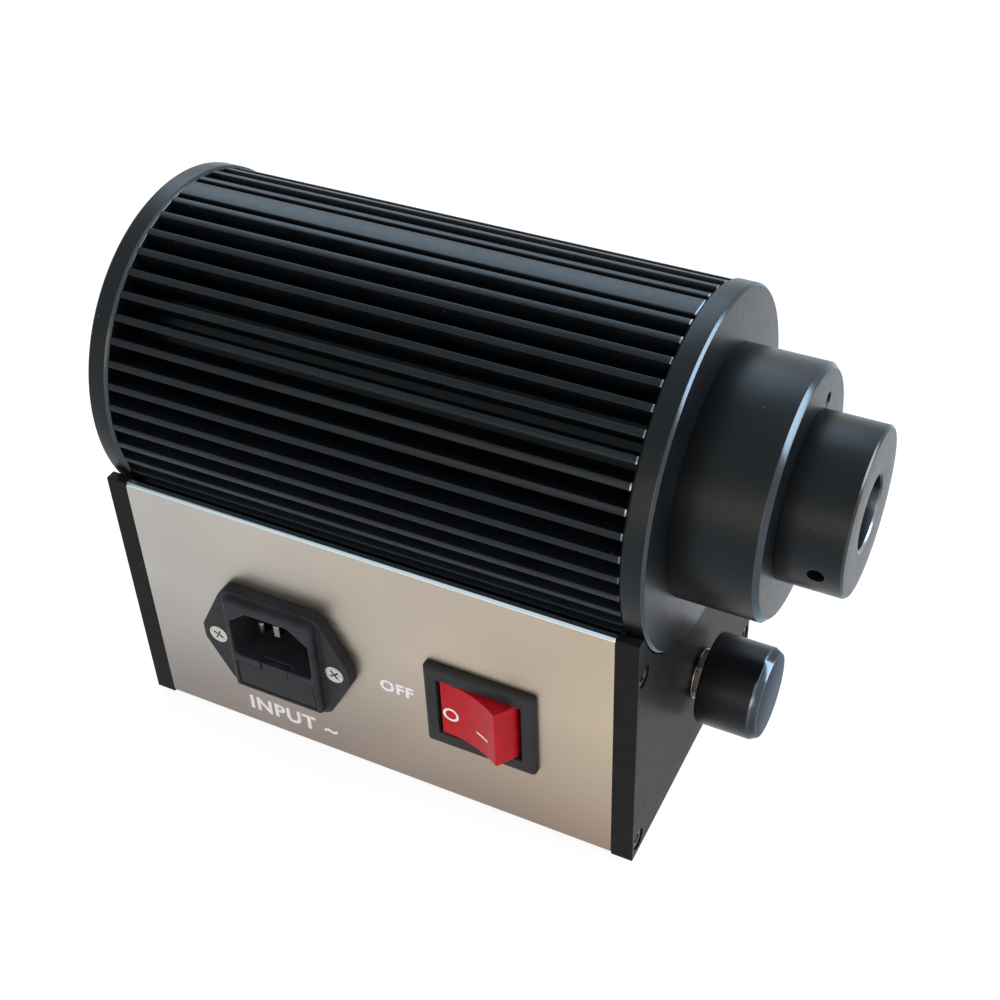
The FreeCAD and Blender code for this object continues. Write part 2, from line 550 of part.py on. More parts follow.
def rocker():
    """Rocker with a hollow face between two ridges, on two trunnions, tipped to its off position."""
    half_h = rocker_h / 2
    base = pivot - Z * half_h
    at = [base + V(across, -out, 0) for across, out in
          [(ridge_x, ridge_out), (end_x, end_out), (end_x - 0.8, -1.0), (4.0, -5.5),
           (-4.0, -5.5), (0.8 - end_x, -1.0), (-end_x, end_out), (-ridge_x, ridge_out)]]
    face = Part.Arc(at[-1], base + V(0, face_dip - ridge_out, 0), at[0]).toShape()
    sides = [Part.makeLine(a, b) for a, b in zip(at, at[1:])]
    body = Part.Face(Part.Wire([face] + sides)).extrude(Z * rocker_h)
    ridges = [edge for edge in body.Edges if edge.BoundBox.ZLength > rocker_h / 2
              and edge.BoundBox.YMax < pivot.y - ridge_out + 0.01]
    body = body.makeFillet(0.5, ridges)
    reach = half_h + (switch_hole_h - rocker_h) / 2 + trunnion_len
    body = body.fuse(rod(pivot - Z * reach, Z, trunnion_r, 2 * reach))
    return body.rotate(pivot, Z, -rocker_tilt)


tab_back = panel_y + switch_body_deep
switch_tap = tab_back + tab_len
tab_x = [switch_x - tab_space_x, switch_x + tab_space_x]
tab_z = [switch_mid - tab_space_z, switch_mid + tab_space_z]
tabs = [block((x - tab_t / 2, x + tab_t / 2), (tab_back, switch_tap), (z - tab_w / 2, z + tab_w / 2))
        for x in tab_x for z in tab_z]
save("switch_body", switch_body())
save("rocker", rocker())
save("switch_terminals", *tabs)

# ---- dimmer --------------------------------------------------------------------------------------------
dimmer_line = V(0, 0, foot_h + dimmer_z)
plate_back = plate_front - plate_t
knob_back = plate_front + knob_gap
knob_front = knob_back + knob_len


def along(x):
    return dimmer_line + X * x


def dimmer_body():
    """Potentiometer can with the wafer that carries its three tabs."""
    shoulder, bore, blind = 0.8, shaft_r + slide_gap, shaft_in + slide_gap
    profile = [(-can_len, 0), (-can_len, can_r - shoulder), (shoulder - can_len, can_r), (0, can_r),
               (0, bore), (-blind, bore), (-blind, 0)]
    can = turned(profile, along(plate_back), X)
    wafer = block((plate_back - wafer_back - wafer_t, plate_back - wafer_back),
                  (-wafer_half_w, wafer_half_w), (tab_top, dimmer_line.z - shaft_r - wafer_drop))
    return can.fuse(wafer)


def dimmer_knob():
    """Turned knob with a chamfered rim, a blind bore for the shaft and a recess over the nut's bush."""
    knob = turned([(knob_back, 0), (knob_back, knob_r - 0.4), (knob_back + 0.4, knob_r),
                   (knob_front - knob_chamfer_x, knob_r), (knob_front, knob_r - knob_chamfer_r),
                   (knob_front, 0)], dimmer_line, X)
    knob = knob.cut(rod(along(knob_back), X, shaft_r + slide_gap / 2, knob_hole_deep))
    knob = knob.cut(rod(along(knob_back), X, knob_recess_r, knob_recess))
    return knob.cut(rod(along(knob_back + grub_back), -Z, m3 + thread_gap, knob_r + 1))


tab_top = dimmer_line.z - can_r - wafer_drop
dimmer_tap = plate_back - wafer_back - wafer_t / 2
knob_hole_deep = knob_len - knob_cap
nut_back = plate_front + washer_t
save("dimmer_body", dimmer_body())
save("dimmer_bush", turned([(plate_back, shaft_r + slide_gap), (plate_back, bush_r),
                            (plate_front + bush_out, bush_r), (plate_front + bush_out, shaft_r + slide_gap)],
                           dimmer_line, X))
save("dimmer_shaft", rod(along(plate_back - shaft_in), X, shaft_r,
                         shaft_in + plate_t + knob_gap + knob_hole_deep - grub_gap))
save("dimmer_washer", turned([(plate_front, bush_r + hole_gap), (plate_front, washer_r),
                              (nut_back, washer_r), (nut_back, bush_r + hole_gap)], dimmer_line, X))
save("dimmer_nut", hexagon(along(nut_back), X, nut_flats, nut_t)
     .cut(rod(along(nut_back), X, bush_r + thread_gap, nut_t)))
save("dimmer_terminals", *[block((dimmer_tap - tab_t / 2, dimmer_tap + tab_t / 2), (y - 1, y + 1),
                                 (tab_top - dimmer_tab_len, tab_top)) for y in wafer_rows])
save("dimmer_knob", dimmer_knob())
save("knob_grub_screw", grub_screw(along(knob_back + grub_back) - Z * (shaft_r + grub_gap + grub_len), Z,
                                   m3, grub_len))

# ---- brackets that carry the tube ------------------------------------------------------------------------
saddle_top = axis_z - fin_r
out_z = tab_top - dimmer_tab_len / 2


def saddle():
    """Folded steel bracket from the floor to the tube's lower land, with a window for the dimmer's wires."""
    outline = [V(0, -saddle_w / 2, floor_z), V(0, saddle_w / 2, floor_z),
               V(0, saddle_top_w / 2, saddle_top), V(0, -saddle_top_w / 2, saddle_top)]
    web = prism(outline, X * sheet_t).translated(X * (saddle_x - sheet_t))
    web = web.cut(rod(V(saddle_x - sheet_t, 0, out_z), X, window_r, sheet_t))
    x, half_foot, half_top = (saddle_x - saddle_foot, saddle_x), saddle_w / 2, saddle_top_w / 2
    foot_sheet = block(x, (-half_foot, half_foot), (floor_z, floor_z + sheet_t))
    top_sheet = block(x, (-half_top, half_top), (saddle_top - sheet_t, saddle_top))
    bracket = web.fuse([foot_sheet, top_sheet]).removeSplitter()
    bracket = bracket.cut(rod(V(saddle_top_x, 0, saddle_top - sheet_t), Z, m4 + hole_gap, sheet_t))
    for side in (-1, 1):
        start = V(saddle_screw_x, side * saddle_screw_y, floor_z)
        bracket = bracket.cut(rod(start, Z, m3 + thread_gap, sheet_t))
    return bracket


save("front_saddle", saddle())
save("rear_saddle", saddle().translated(X * -saddle_pitch))
save("saddle_floor_screws", *[sunk_screw(V(x, y, foot_h), Z, m3, m3_head_r, panel_t + sheet_t + 1)
                              for x, y in saddle_screws])
save("saddle_tube_screws", *[cap_screw(V(saddle_top_x + step, 0, saddle_top - sheet_t), Z, m4,
                                       tube_screw_len) for step in saddle_steps])

# ---- driver board --------------------------------------------------------------------------------------
board_low = floor_z + standoff_h
front_row, middle_row, rear_row = board_front + row_in, (board_front + board_rear) / 2, board_rear - row_in
terminal_size, terminal_h, terminal_hole_r, terminal_pitch, terminal_deep = (10.0, 8.0), 10.0, 1.5, 2.0, 3.0
filter_size, filter_h, bridge_size, bridge_h = (13.0, 6.0), 12.0, (10.0, 4.0), 11.0
cooler_size, cooler_h, cooler_wall, transistor_size, transistor_h = (14.0, 8.0), 20.0, 2.0, (9.0, 4.4), 15.0
small_can_r, small_can_h, bulk_r, bulk_h = 4.0, 12.0, 6.5, 22.0
choke_r, choke_hole_r, choke_h, winding_round = 6.5, 2.5, 6.0, 2.0
core_size, core_h, core_leg, core_window, winding_w, winding_gap = (22.0, 7.0), 19.0, 3.0, 5.5, 15.0, 0.1


def driver_board():
    x, y = (board_start, board_edge), (board_front, board_rear)
    board = block(x, y, (board_low, board_top))
    return board.cut([rod(V(hole.x, hole.y, board_low), Z, m3 + hole_gap, board_t) for hole in board_holes])


def spread(widths, reach):
    """Middles of parts that stand in a row with equal gaps."""
    gap, places, edge = (reach - sum(widths)) / (len(widths) + 1), [], board_x - reach / 2
    for width in widths:
        places.append(edge + gap + width / 2)
        edge += gap + width
    return places


def on_board(x, y, size, height):
    """Rectangular part standing on the board."""
    return block((x - size[0] / 2, x + size[0] / 2), (y - size[1] / 2, y + size[1] / 2),
                 (board_top, board_top + height))


def can_on_board(x, y, radius, height):
    """Round capacitor with a rolled shoulder."""
    profile = [(0, 0), (0, radius), (height - 1, radius), (height, radius - 1), (height, 0)]
    return turned(profile, V(x, y, board_top), Z)


def choke(x, y):
    """Ring core wound all the way round."""
    soft = (choke_r - choke_hole_r) / 4
    profile = [(0, choke_hole_r + soft), (0, choke_r - soft), (soft, choke_r), (choke_h - soft, choke_r),
               (choke_h, choke_r - soft), (choke_h, choke_hole_r + soft), (choke_h - soft, choke_hole_r),
               (soft, choke_hole_r)]
    return turned(profile, V(x, y, board_top), Z)


def terminal(x, y):
    """Two-way terminal with a wire hole for each way."""
    body = on_board(x, y, terminal_size, terminal_h)
    return body.cut([rod(V(x, y + side * terminal_pitch, term_top), -Z, terminal_hole_r, terminal_deep)
                     for side in (-1, 1)])


def transformer(x, y):
    """Core with two windows, and the winding that fills them and stands out on both sides."""
    half, top = core_size[0] / 2, board_top + core_h - core_leg
    core = on_board(x, y, core_size, core_h)
    deep, high = (y - core_size[1], y + core_size[1]), (board_top + core_leg, top)
    for side in (-1, 1):
        window = sorted((x + side * (half - core_leg), x + side * (half - core_leg - core_window)))
        core = core.cut(block(window, deep, high))
    reach = half - core_leg - winding_gap
    winding = block((x - reach, x + reach), (y - winding_w / 2, y + winding_w / 2),
                    (board_top + core_leg + winding_gap, top - winding_gap))
    upright = [edge for edge in winding.Edges if edge.BoundBox.ZLength > core_leg]
    winding = winding.makeFillet(winding_round, upright)
    return core, winding.cut(core)


def cooler(x, y):
    """U-shaped cooler, open towards the middle of the board."""
    inside = (cooler_size[0] - 2 * cooler_wall, cooler_size[1])
    return on_board(x, y, cooler_size, cooler_h).cut(on_board(x, y - cooler_wall, inside, cooler_h))


term_top = board_top + terminal_h
short_reach = board_len - 2 * corner_w
mains_x, filter_x, bridge_x, can_x = spread(
    [terminal_size[0], filter_size[0], bridge_size[0], 2 * small_can_r], short_reach)
choke_x, bulk_x, core_x = spread([2 * choke_r, 2 * bulk_r, core_size[0]], board_len)
cooler_x, rear_can_x, output_x = spread([cooler_size[0], 2 * small_can_r, terminal_size[0]], short_reach)
core, winding = transformer(core_x, middle_row)
transistor_y = rear_row + cooler_size[1] / 2 - cooler_wall - transistor_size[1] / 2
save("driver_board", driver_board())
save("board_standoffs", *[hexagon(hole, Z, nut_m3, standoff_h).cut(rod(hole, Z, m3 + thread_gap, standoff_h))
                          for hole in board_holes])
save("board_screws", *[cap_screw(V(hole.x, hole.y, board_top), -Z, m3, board_screw_len)
                       for hole in board_holes])
save("transformer_core", core)
save("transformer_winding", winding)
save("bulk_capacitor", can_on_board(bulk_x, middle_row, bulk_r, bulk_h))
save("output_capacitors", *[can_on_board(x, y, small_can_r, small_can_h)
                            for x, y in ((can_x, front_row), (rear_can_x, rear_row))])
save("filter_choke", choke(choke_x, middle_row))
save("filter_capacitor", on_board(filter_x, front_row, filter_size, filter_h))
save("bridge_rectifier", on_board(bridge_x, front_row, bridge_size, bridge_h))
save("switching_transistor", on_board(cooler_x, transistor_y, transistor_size, transistor_h))
save("transistor_cooler", cooler(cooler_x, rear_row))
save("mains_terminal", terminal(mains_x, front_row))
save("output_terminal", terminal(output_x, rear_row))

# ---- wires ---------------------------------------------------------------------------------------------
shelf_drop, wire_side, earth_out, joint_in = 7.2, 1.2, 3.2, 0.3
wire_end, shelf_z, pad_z = term_top - terminal_deep, saddle_top - shelf_drop, axis_z - lead_pad
line_z, earth_z = inlet_mid + line_pin_z, inlet_mid + earth_pin_z
live_y, neutral_y = front_row - terminal_pitch, front_row + terminal_pitch


def led_lead(side):
    """From the output terminal up to the shelf, across to the hole in the tube and in to the lamp board."""
    x, y, across = lead_hole_x + side * wire_side, rear_row + side * terminal_pitch, side * wire_side
    return lead([V(output_x, y, wire_end), V(output_x, y, shelf_z), V(x, y, shelf_z), V(x, across, shelf_z),
                 V(x, across, pad_z), V(board_face, across, pad_z)])


neutral = lead([V(inlet_x - pin_space, tail_y, line_z), V(inlet_x - pin_space, neutral_y, line_z),
                V(mains_x, neutral_y, line_z - terminal_h), V(mains_x, neutral_y, wire_end)])
live = lead([V(inlet_x + pin_space, tail_y, line_z), V(inlet_x + pin_space, live_y, line_z),
             V(tab_x[0], live_y, line_z), V(tab_x[0], switch_tap, line_z)])
switched = lead([V(tab_x[0], switch_tap, tab_z[0]), V(tab_x[0], live_y, tab_z[0]),
                 V(mains_x, live_y, tab_z[0]), V(mains_x, live_y, wire_end)])
earth_y = tail_y + earth_out
earth = lead([V(inlet_x, tail_y, earth_z), V(inlet_x, earth_y, earth_z), V(inlet_x, earth_y, floor_z)])
save("led_leads", led_lead(-1), led_lead(1))
save("mains_leads", neutral, live, switched)
save("earth_lead", earth)
save("dimmer_leads", *[lead([V(dimmer_tap - tab_t / 2, y, out_z), V(board_edge - joint_in, y, out_z),
                             V(board_edge - joint_in, y, board_top)]) for y in wafer_rows])
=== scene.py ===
import math
import bmesh
import bpy
from mathutils import Matrix, Vector


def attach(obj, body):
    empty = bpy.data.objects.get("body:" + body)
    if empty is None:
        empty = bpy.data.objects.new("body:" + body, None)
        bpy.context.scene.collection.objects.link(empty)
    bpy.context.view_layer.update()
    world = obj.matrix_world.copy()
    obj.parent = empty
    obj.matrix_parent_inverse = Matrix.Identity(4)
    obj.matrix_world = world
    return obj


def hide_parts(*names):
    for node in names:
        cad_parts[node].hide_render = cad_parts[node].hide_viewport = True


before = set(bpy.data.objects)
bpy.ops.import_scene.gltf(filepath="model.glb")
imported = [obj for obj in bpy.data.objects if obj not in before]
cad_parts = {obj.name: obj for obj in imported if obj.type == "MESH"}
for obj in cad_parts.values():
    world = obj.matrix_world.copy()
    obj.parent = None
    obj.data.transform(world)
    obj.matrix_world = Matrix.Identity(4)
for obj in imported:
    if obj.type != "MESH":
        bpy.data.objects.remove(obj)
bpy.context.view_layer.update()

# ---- studio --------------------------------------------------------------------------------------
# A pale floor, three soft lamps, and a surround that lights cooler from above and warmer from below but shows
# as plain white. The camera looks down at the corner between the inlet's panel and the end with the nose.
scene = bpy.context.scene
scene.view_settings.view_transform = "Standard"


def linear(colour):
    """Linear RGBA from an sRGB hex value."""
    parts = [int(colour[i:i + 2], 16) / 255 for i in (1, 3, 5)]
    return [p / 12.92 if p <= 0.04045 else ((p + 0.055) / 1.055) ** 2.4 for p in parts] + [1.0]


def add(tree, kind, links=None, **settings):
    """Adds a node with its settings. Its links give its inputs a value, a socket or a node's first output."""
    node = tree.nodes.new(kind)
    for name, value in settings.items():
        setattr(node, name, value)
    for name, value in (links or {}).items():
        if isinstance(value, bpy.types.Node):
            value = value.outputs[0]
        if isinstance(value, bpy.types.NodeSocket):
            tree.links.new(value, node.inputs[name])
        else:
            node.inputs[name].default_value = value
    return node


def seen_directly(tree):
    """1 on a ray from the camera, in a mirror image or through glass, else 0."""
    path = add(tree, "ShaderNodeLightPath").outputs
    seen = path["Is Camera Ray"]
    for ray in ("Is Glossy Ray", "Is Transmission Ray"):
        seen = add(tree, "ShaderNodeMath", {0: seen, 1: path[ray]}, operation="MAXIMUM")
    return seen


camera_data = bpy.data.cameras.new("camera")
camera_data.sensor_width, camera_data.lens, camera_data.clip_start = 36.0, 56.59, 0.01
camera = bpy.data.objects.new("camera", camera_data)
scene.collection.objects.link(camera)
camera_right, camera_up = (0.89606, 0.44275, -0.03251), (-0.26387, 0.59006, 0.76302)
camera_back, camera_place = (0.35701, -0.67513, 0.64556), (0.163422, -0.276815, 0.334410)
camera.matrix_world = Matrix([[camera_right[i], camera_up[i], camera_back[i], camera_place[i]]
                              for i in range(3)] + [[0, 0, 0, 1]])
scene.camera = camera

surround = bpy.data.worlds.new("surround")
scene.world = surround
surround.use_nodes = True
tree = surround.node_tree
tree.nodes.clear()
around = add(tree, "ShaderNodeTexCoord").outputs["Generated"]
height = add(tree, "ShaderNodeSeparateXYZ", {0: around}).outputs["Z"]
up = add(tree, "ShaderNodeMapRange", {"Value": height, "From Min": -0.3, "From Max": 1.0})
shade = add(tree, "ShaderNodeMix", {0: up, 6: linear("#b3a899"), 7: linear("#dbe8ff")}, data_type="RGBA")
lighting = add(tree, "ShaderNodeBackground", {"Color": shade.outputs[2], "Strength": 0.85})
white = add(tree, "ShaderNodeBackground", {"Color": linear("#ffffff"), "Strength": 1.0})
mixed = add(tree, "ShaderNodeMixShader", {0: seen_directly(tree), 1: lighting, 2: white})
add(tree, "ShaderNodeOutputWorld", {"Surface": mixed})

floor_mesh = bpy.data.meshes.new("floor")
floor_mesh.from_pydata([(-6, -6, 0), (6, -6, 0), (6, 6, 0), (-6, 6, 0)], [], [(0, 1, 2, 3)])
floor = bpy.data.objects.new("floor", floor_mesh)
scene.collection.objects.link(floor)
paper = bpy.data.materials.new("floor_paper")
paper.use_nodes = True
tree = paper.node_tree
tree.nodes.clear()
lit = add(tree, "ShaderNodeBsdfDiffuse", {"Color": linear("#e9e9e8")})
glow = add(tree, "ShaderNodeEmission", {"Color": linear("#ffffff"), "Strength": 0.87})
shaded = add(tree, "ShaderNodeBsdfDiffuse", {"Color": linear("#868686")})
bright = add(tree, "ShaderNodeAddShader", {0: glow, 1: shaded})
mixed = add(tree, "ShaderNodeMixShader", {0: seen_directly(tree), 1: lit, 2: bright})
add(tree, "ShaderNodeOutputMaterial", {"Surface": mixed})
floor_mesh.materials.append(paper)


def lamp(name, place, aim, size, power, colour):
    """Soft lamp of a width and a height that points at a place."""
    data = bpy.data.lights.new(name, "AREA")
    data.shape, data.size, data.size_y = "RECTANGLE", *size
    data.energy, data.color = power, linear(colour)[:3]
    obj = bpy.data.objects.new(name, data)
    obj.matrix_world = (Matrix.Translation(place)
                        @ (Vector(place) - Vector(aim)).to_track_quat("Z", "Y").to_matrix().to_4x4())
    scene.collection.objects.link(obj)


lamp("sky", (-0.5, 0.95, 1.05), (0, 0, 0.1), (1.0, 1.0), 12.0, "#b7d3ea")
lamp("window", (1.25, 0.6, 0.78), (0.08, 0, 0.1), (1.2, 0.65), 30.0, "#cde1f2")
lamp("room", (0.3, -1.45, 0.45), (0, 0, 0.06), (2.2, 0.7), 12.0, "#ffe4c4")


# ---- channel -------------------------------------------------------------------------------------
# The floor and both side panels are one extruded aluminium channel, satin brushed along its length and clear
# anodised. Its cut edges are broken with a file, and they catch the light as thin bright lines.
def metal_or_paint(name, colour, metallic, roughness, **more):
    """New material whose shader has its even values set; returns it, its node tree and the shader."""
    made = bpy.data.materials.new(name)
    made.use_nodes = True
    tree = made.node_tree
    shader = tree.nodes["Principled BSDF"]
    shader.inputs["Base Color"].default_value = linear(colour)
    shader.inputs["Metallic"].default_value = metallic
    shader.inputs["Roughness"].default_value = roughness
    for key, value in more.items():
        shader.inputs[key.replace("_", " ")].default_value = value
    return made, tree, shader


def axis_value(tree, axis):
    """One coordinate on the piece, in metres."""
    place = add(tree, "ShaderNodeTexCoord").outputs["Object"]
    return add(tree, "ShaderNodeSeparateXYZ", {0: place}).outputs[axis]


def grain(tree, scale, stretch=(1, 1, 1), detail=3.0):
    """Noise on the piece itself; scale is in patches per metre."""
    place = add(tree, "ShaderNodeTexCoord").outputs["Object"]
    spread = add(tree, "ShaderNodeMapping", {"Vector": place, "Scale": stretch})
    noise = add(tree, "ShaderNodeTexNoise", {"Vector": spread, "Scale": scale, "Detail": detail})
    return noise.outputs["Fac"]


def relief(tree, shader, height, depth_mm, strength=1.0):
    """Raises the surface by a height from 0 to 1 times a depth, on top of the relief that it has."""
    before = shader.inputs["Normal"].links
    links = {"Height": height, "Distance": depth_mm * 0.001, "Strength": strength}
    if before:
        links["Normal"] = before[0].from_socket
    tree.links.new(add(tree, "ShaderNodeBump", links).outputs[0], shader.inputs["Normal"])


def rough(tree, shader, value, low, high):
    """Varies the roughness between two amounts by a grain."""
    amount = add(tree, "ShaderNodeMapRange", {"Value": value, "From Min": 0.3, "From Max": 0.7,
                                              "To Min": low, "To Max": high})
    tree.links.new(amount.outputs[0], shader.inputs["Roughness"])


def blend(tree, value, colours, low, high):
    """Colour between two, by where a value lies from a low to a high reading."""
    share = add(tree, "ShaderNodeMapRange", {"Value": value, "From Min": low, "From Max": high})
    return add(tree, "ShaderNodeMix", {0: share, 6: linear(colours[0]), 7: linear(colours[1])},
               data_type="RGBA").outputs[2]


def tint(tree, shader, value, colours, low=0.3, high=0.7):
    """Gives the shader a colour between two by a value."""
    tree.links.new(blend(tree, value, colours, low, high), shader.inputs["Base Color"])


def recolour(tree, shader, amount, colour, **settings):
    """Mixes one more colour into the shader's by an amount."""
    before = shader.inputs["Base Color"].links[0].from_socket
    mixed = add(tree, "ShaderNodeMix", {0: amount, 6: before, 7: colour}, data_type="RGBA", **settings)
    tree.links.new(mixed.outputs[2], shader.inputs["Base Color"])


# Clear anodised aluminium, brushed: a dull silver with fine lines along the panel and a soft, wide gloss.
panel_silver, tree, shader = metal_or_paint("brushed_anodised_aluminium", "#b2aba0", 1.0, 0.36,
                                            Anisotropic=0.35)
lines = grain(tree, 60.0, (1, 60, 60), 6.0)
clouds = grain(tree, 22.0, (1, 1, 1), 2.0)
tint(tree, shader, clouds, ("#b5ada4", "#bfb7ad"))
rough(tree, shader, lines, 0.30, 0.44)
relief(tree, shader, lines, 0.004)


def bare_metal_wear_and_painted_light(tree, shader, place, colour, roughness=0.22):
    """Shows bare metal where a place is 1 and the finish where it is 0; it draws real wear and painted light.
    """
    recolour(tree, shader, place, linear(colour))
    for name, value in (("Metallic", 1.0), ("Roughness", roughness)):
        links = shader.inputs[name].links
        start = links[0].from_socket if links else shader.inputs[name].default_value
        change = add(tree, "ShaderNodeMix", {0: place, 2: start, 3: value})
        tree.links.new(change.outputs[0], shader.inputs[name])


def toned(tree, shader, value, low, high, colours):
    """Multiplies the colour by two tones that a value blends between a low and a high reading."""
    recolour(tree, shader, 1.0, blend(tree, value, colours, low, high), blend_type="MULTIPLY")


# Painted reflection: the skin is tinted cooler towards the back and warmer towards the front.
toned(tree, shader, axis_value(tree, "X"), -0.07, 0.06, ("#f3f9fe", "#fff4e4"))
# Painted shade: the skin is darker towards the foot.
toned(tree, shader, axis_value(tree, "Z"), 0.0, 0.05, ("#c2babb", "#ffffff"))
# Where the top edge is filed the bare metal shows, paler and brighter than its anodised skin. Its cool tint
# is a painted highlight.
filed_highlight_from = 0.07932
filed_edge_and_highlight = add(tree, "ShaderNodeMath", {0: axis_value(tree, "Z"), 1: filed_highlight_from}, operation="GREATER_THAN")
bare_metal_wear_and_painted_light(tree, shader, filed_edge_and_highlight, "#bccfd8", 0.3)


def put(name, mesh, body, nodes, material):
    """Links a finished piece and says what it rides on, which solids it stands for and its finish."""
    piece = bpy.data.objects.new(name, mesh)
    scene.collection.objects.link(piece)
    mesh.materials.clear()
    mesh.materials.append(material)
    mesh.polygons.foreach_set("use_smooth", [True] * len(mesh.polygons))
    mesh.set_sharp_from_angle(angle=math.radians(32))
    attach(piece, body)
    if nodes:
        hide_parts(*nodes)
    return piece


def finished(mesh, width_mm, steps=2, cutters=()):
    """The mesh with holes cut by other meshes and its edges broken."""
    work = bpy.data.objects.new("work", mesh)
    scene.collection.objects.link(work)
    tools = []
    for cutter in cutters:
        tool = bpy.data.objects.new("tool", cutter)
        scene.collection.objects.link(tool)
        cut = work.modifiers.new("cut", "BOOLEAN")
        cut.operation, cut.solver, cut.object = "DIFFERENCE", "EXACT", tool
        tools.append(tool)
    if width_mm:
        edge = work.modifiers.new("edges", "BEVEL")
        edge.width, edge.segments, edge.limit_method = width_mm * 0.001, steps, "ANGLE"
        edge.angle_limit, edge.use_clamp_overlap, edge.loop_slide = math.radians(33), False, False
        mesh.polygons.foreach_set("use_smooth", [True] * len(mesh.polygons))
        flat = work.modifiers.new("flat_faces", "WEIGHTED_NORMAL")
        flat.weight, flat.keep_sharp = 100, True
    bpy.context.view_layer.update()
    result = bpy.data.meshes.new_from_object(work.evaluated_get(bpy.context.evaluated_depsgraph_get()))
    for obj in [work] + tools:
        bpy.data.objects.remove(obj)
    return result


def loose(node):
    """Copy of a carried-over solid, its triangles joined into whole faces."""
    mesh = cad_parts[node].data.copy()
    solid = bmesh.new()
    solid.from_mesh(mesh)
    bmesh.ops.remove_doubles(solid, verts=solid.verts, dist=1e-6)
    bmesh.ops.dissolve_limit(solid, angle_limit=math.radians(0.5), verts=solid.verts, edges=solid.edges)
    bmesh.ops.connect_verts_concave(solid, faces=solid.faces)
    solid.to_mesh(mesh)
    solid.free()
    for left in [a for a in mesh.attributes if a.name in ("custom_normal", "sharp_face")]:
        mesh.attributes.remove(left)
    return mesh


def softened(name, node, width_mm, material, body="housing", steps=2):
    """The carried-over solid with its edges broken, as a separate finished piece."""
    return put(name, finished(loose(node), width_mm, steps), body, [node], material)


def file_flat(mesh, chosen, width_mm):
    """The mesh with the edges whose two ends are chosen cut to a flat, as with a file."""
    solid = bmesh.new()
    solid.from_mesh(mesh)
    edges = [e for e in solid.edges if all(chosen(v.co * 1000) for v in e.verts)]
    bmesh.ops.bevel(solid, geom=edges, offset=width_mm * 0.001, segments=1, affect="EDGES",
                    clamp_overlap=False, loop_slide=False)
    solid.to_mesh(mesh)
    solid.free()
    return mesh


channel_top, channel_side = 79.95, 44.15
channel = file_flat(loose("base_channel"), lambda v: v.z > channel_top and abs(v.y) > channel_side, 0.65)
put("channel", finished(channel, 0.1), "housing", ["base_channel"], panel_silver)

# ---- end plates ----------------------------------------------------------------------------------
# Two aluminium plates, sawn and milled, then black anodised. Each is notched for the tube's end disc and held
# by four socket cap screws, sunk in counterbores, that run into the channel's screw ports.


# Black anodised aluminium: a dark grey dye under a clear oxide skin, so it is matt in itself but takes a soft
# pale sheen where it turns away from the eye. Dust sits on it as a few pale specks.
def black_anodised(name, colours, roughness, lines=None, specks=0.55, sheen=0.18, cast="#d9e9f0"):
    """Anodised black with soft blotches, dust specks and, if given, cutter lines (scale, stretch, depth)."""
    made, tree, shader = metal_or_paint(name, colours[0], 0.0, roughness, IOR=1.6, Specular_IOR_Level=sheen,
                                        Specular_Tint=linear(cast))
    tint(tree, shader, grain(tree, 120.0), colours)
    rough(tree, shader, grain(tree, 500.0), roughness - 0.02, roughness + 0.03)
    relief(tree, shader, grain(tree, 5000.0, detail=2.0), 0.006, 0.6)
    if lines:
        relief(tree, shader, grain(tree, lines[0], lines[1], 2.0), lines[2])
    place = add(tree, "ShaderNodeTexCoord").outputs["Object"]
    dust = add(tree, "ShaderNodeTexVoronoi", {"Vector": place, "Scale": 420.0, "Randomness": 1.0})
    speck = add(tree, "ShaderNodeMapRange", {"Value": dust.outputs["Distance"], "From Min": 0.03,
                                             "From Max": 0.08, "To Min": specks, "To Max": 0.0})
    chance = add(tree, "ShaderNodeSeparateColor", {0: dust.outputs["Color"]})
    few = add(tree, "ShaderNodeMapRange", {"Value": chance, "From Min": 0.80, "From Max": 0.86})
    amount = add(tree, "ShaderNodeMath", {0: speck, 1: few}, operation="MULTIPLY")
    recolour(tree, shader, amount, linear("#8f9092"))
    return made, tree, shader


plate_black = black_anodised("milled_black_anodised_plate", ("#181818", "#1f1e1e"), 0.38,
                             (900.0, (1, 1, 0.04), 0.0008), sheen=0.03, cast="#ffffff")[0]
softened("front_end_plate", "front_plate", 0.25, plate_black)
softened("rear_end_plate", "rear_plate", 0.25, plate_black)


def grained(name, colour, metallic, roughness, colours, patches, grit, depth_mm, **spread):
    """New material of two colours in patches, with a fine grit; patches and grit are in spots per metre."""
    made, tree, shader = metal_or_paint(name, colour, metallic, roughness)
    tint(tree, shader, grain(tree, patches), colours, **spread)
    relief(tree, shader, grain(tree, grit), depth_mm)
    return made, tree, shader


# Black oxide steel: a thin blue-black skin, oiled, with the bare steel just showing through.
screw_black = grained("black_oxide_steel", "#44484e", 0.95, 0.24, ("#3d4146", "#4e535a"),
                      900.0, 3000.0, 0.004)[0]


def geometry_tree(name, inputs):
    """Empty Geometry Nodes tree with named inputs; returns it, those sockets and its last one."""
    tree = bpy.data.node_groups.new(name, "GeometryNodeTree")
    tree.interface.new_socket("Geometry", in_out="OUTPUT", socket_type="NodeSocketGeometry")
    for label, kind in inputs:
        tree.interface.new_socket(label, in_out="INPUT", socket_type="NodeSocket" + kind)
    return tree, add(tree, "NodeGroupInput").outputs, add(tree, "NodeGroupOutput").inputs["Geometry"]


def dressed(tree, geometry, given, result):
    """Ends a tree: makes its instances real and gives them the material."""
    real = add(tree, "GeometryNodeRealizeInstances", {0: geometry})
    clad = add(tree, "GeometryNodeSetMaterial", {"Geometry": real, "Material": given["Material"]})
    tree.links.new(clad.outputs[0], result)
    return tree


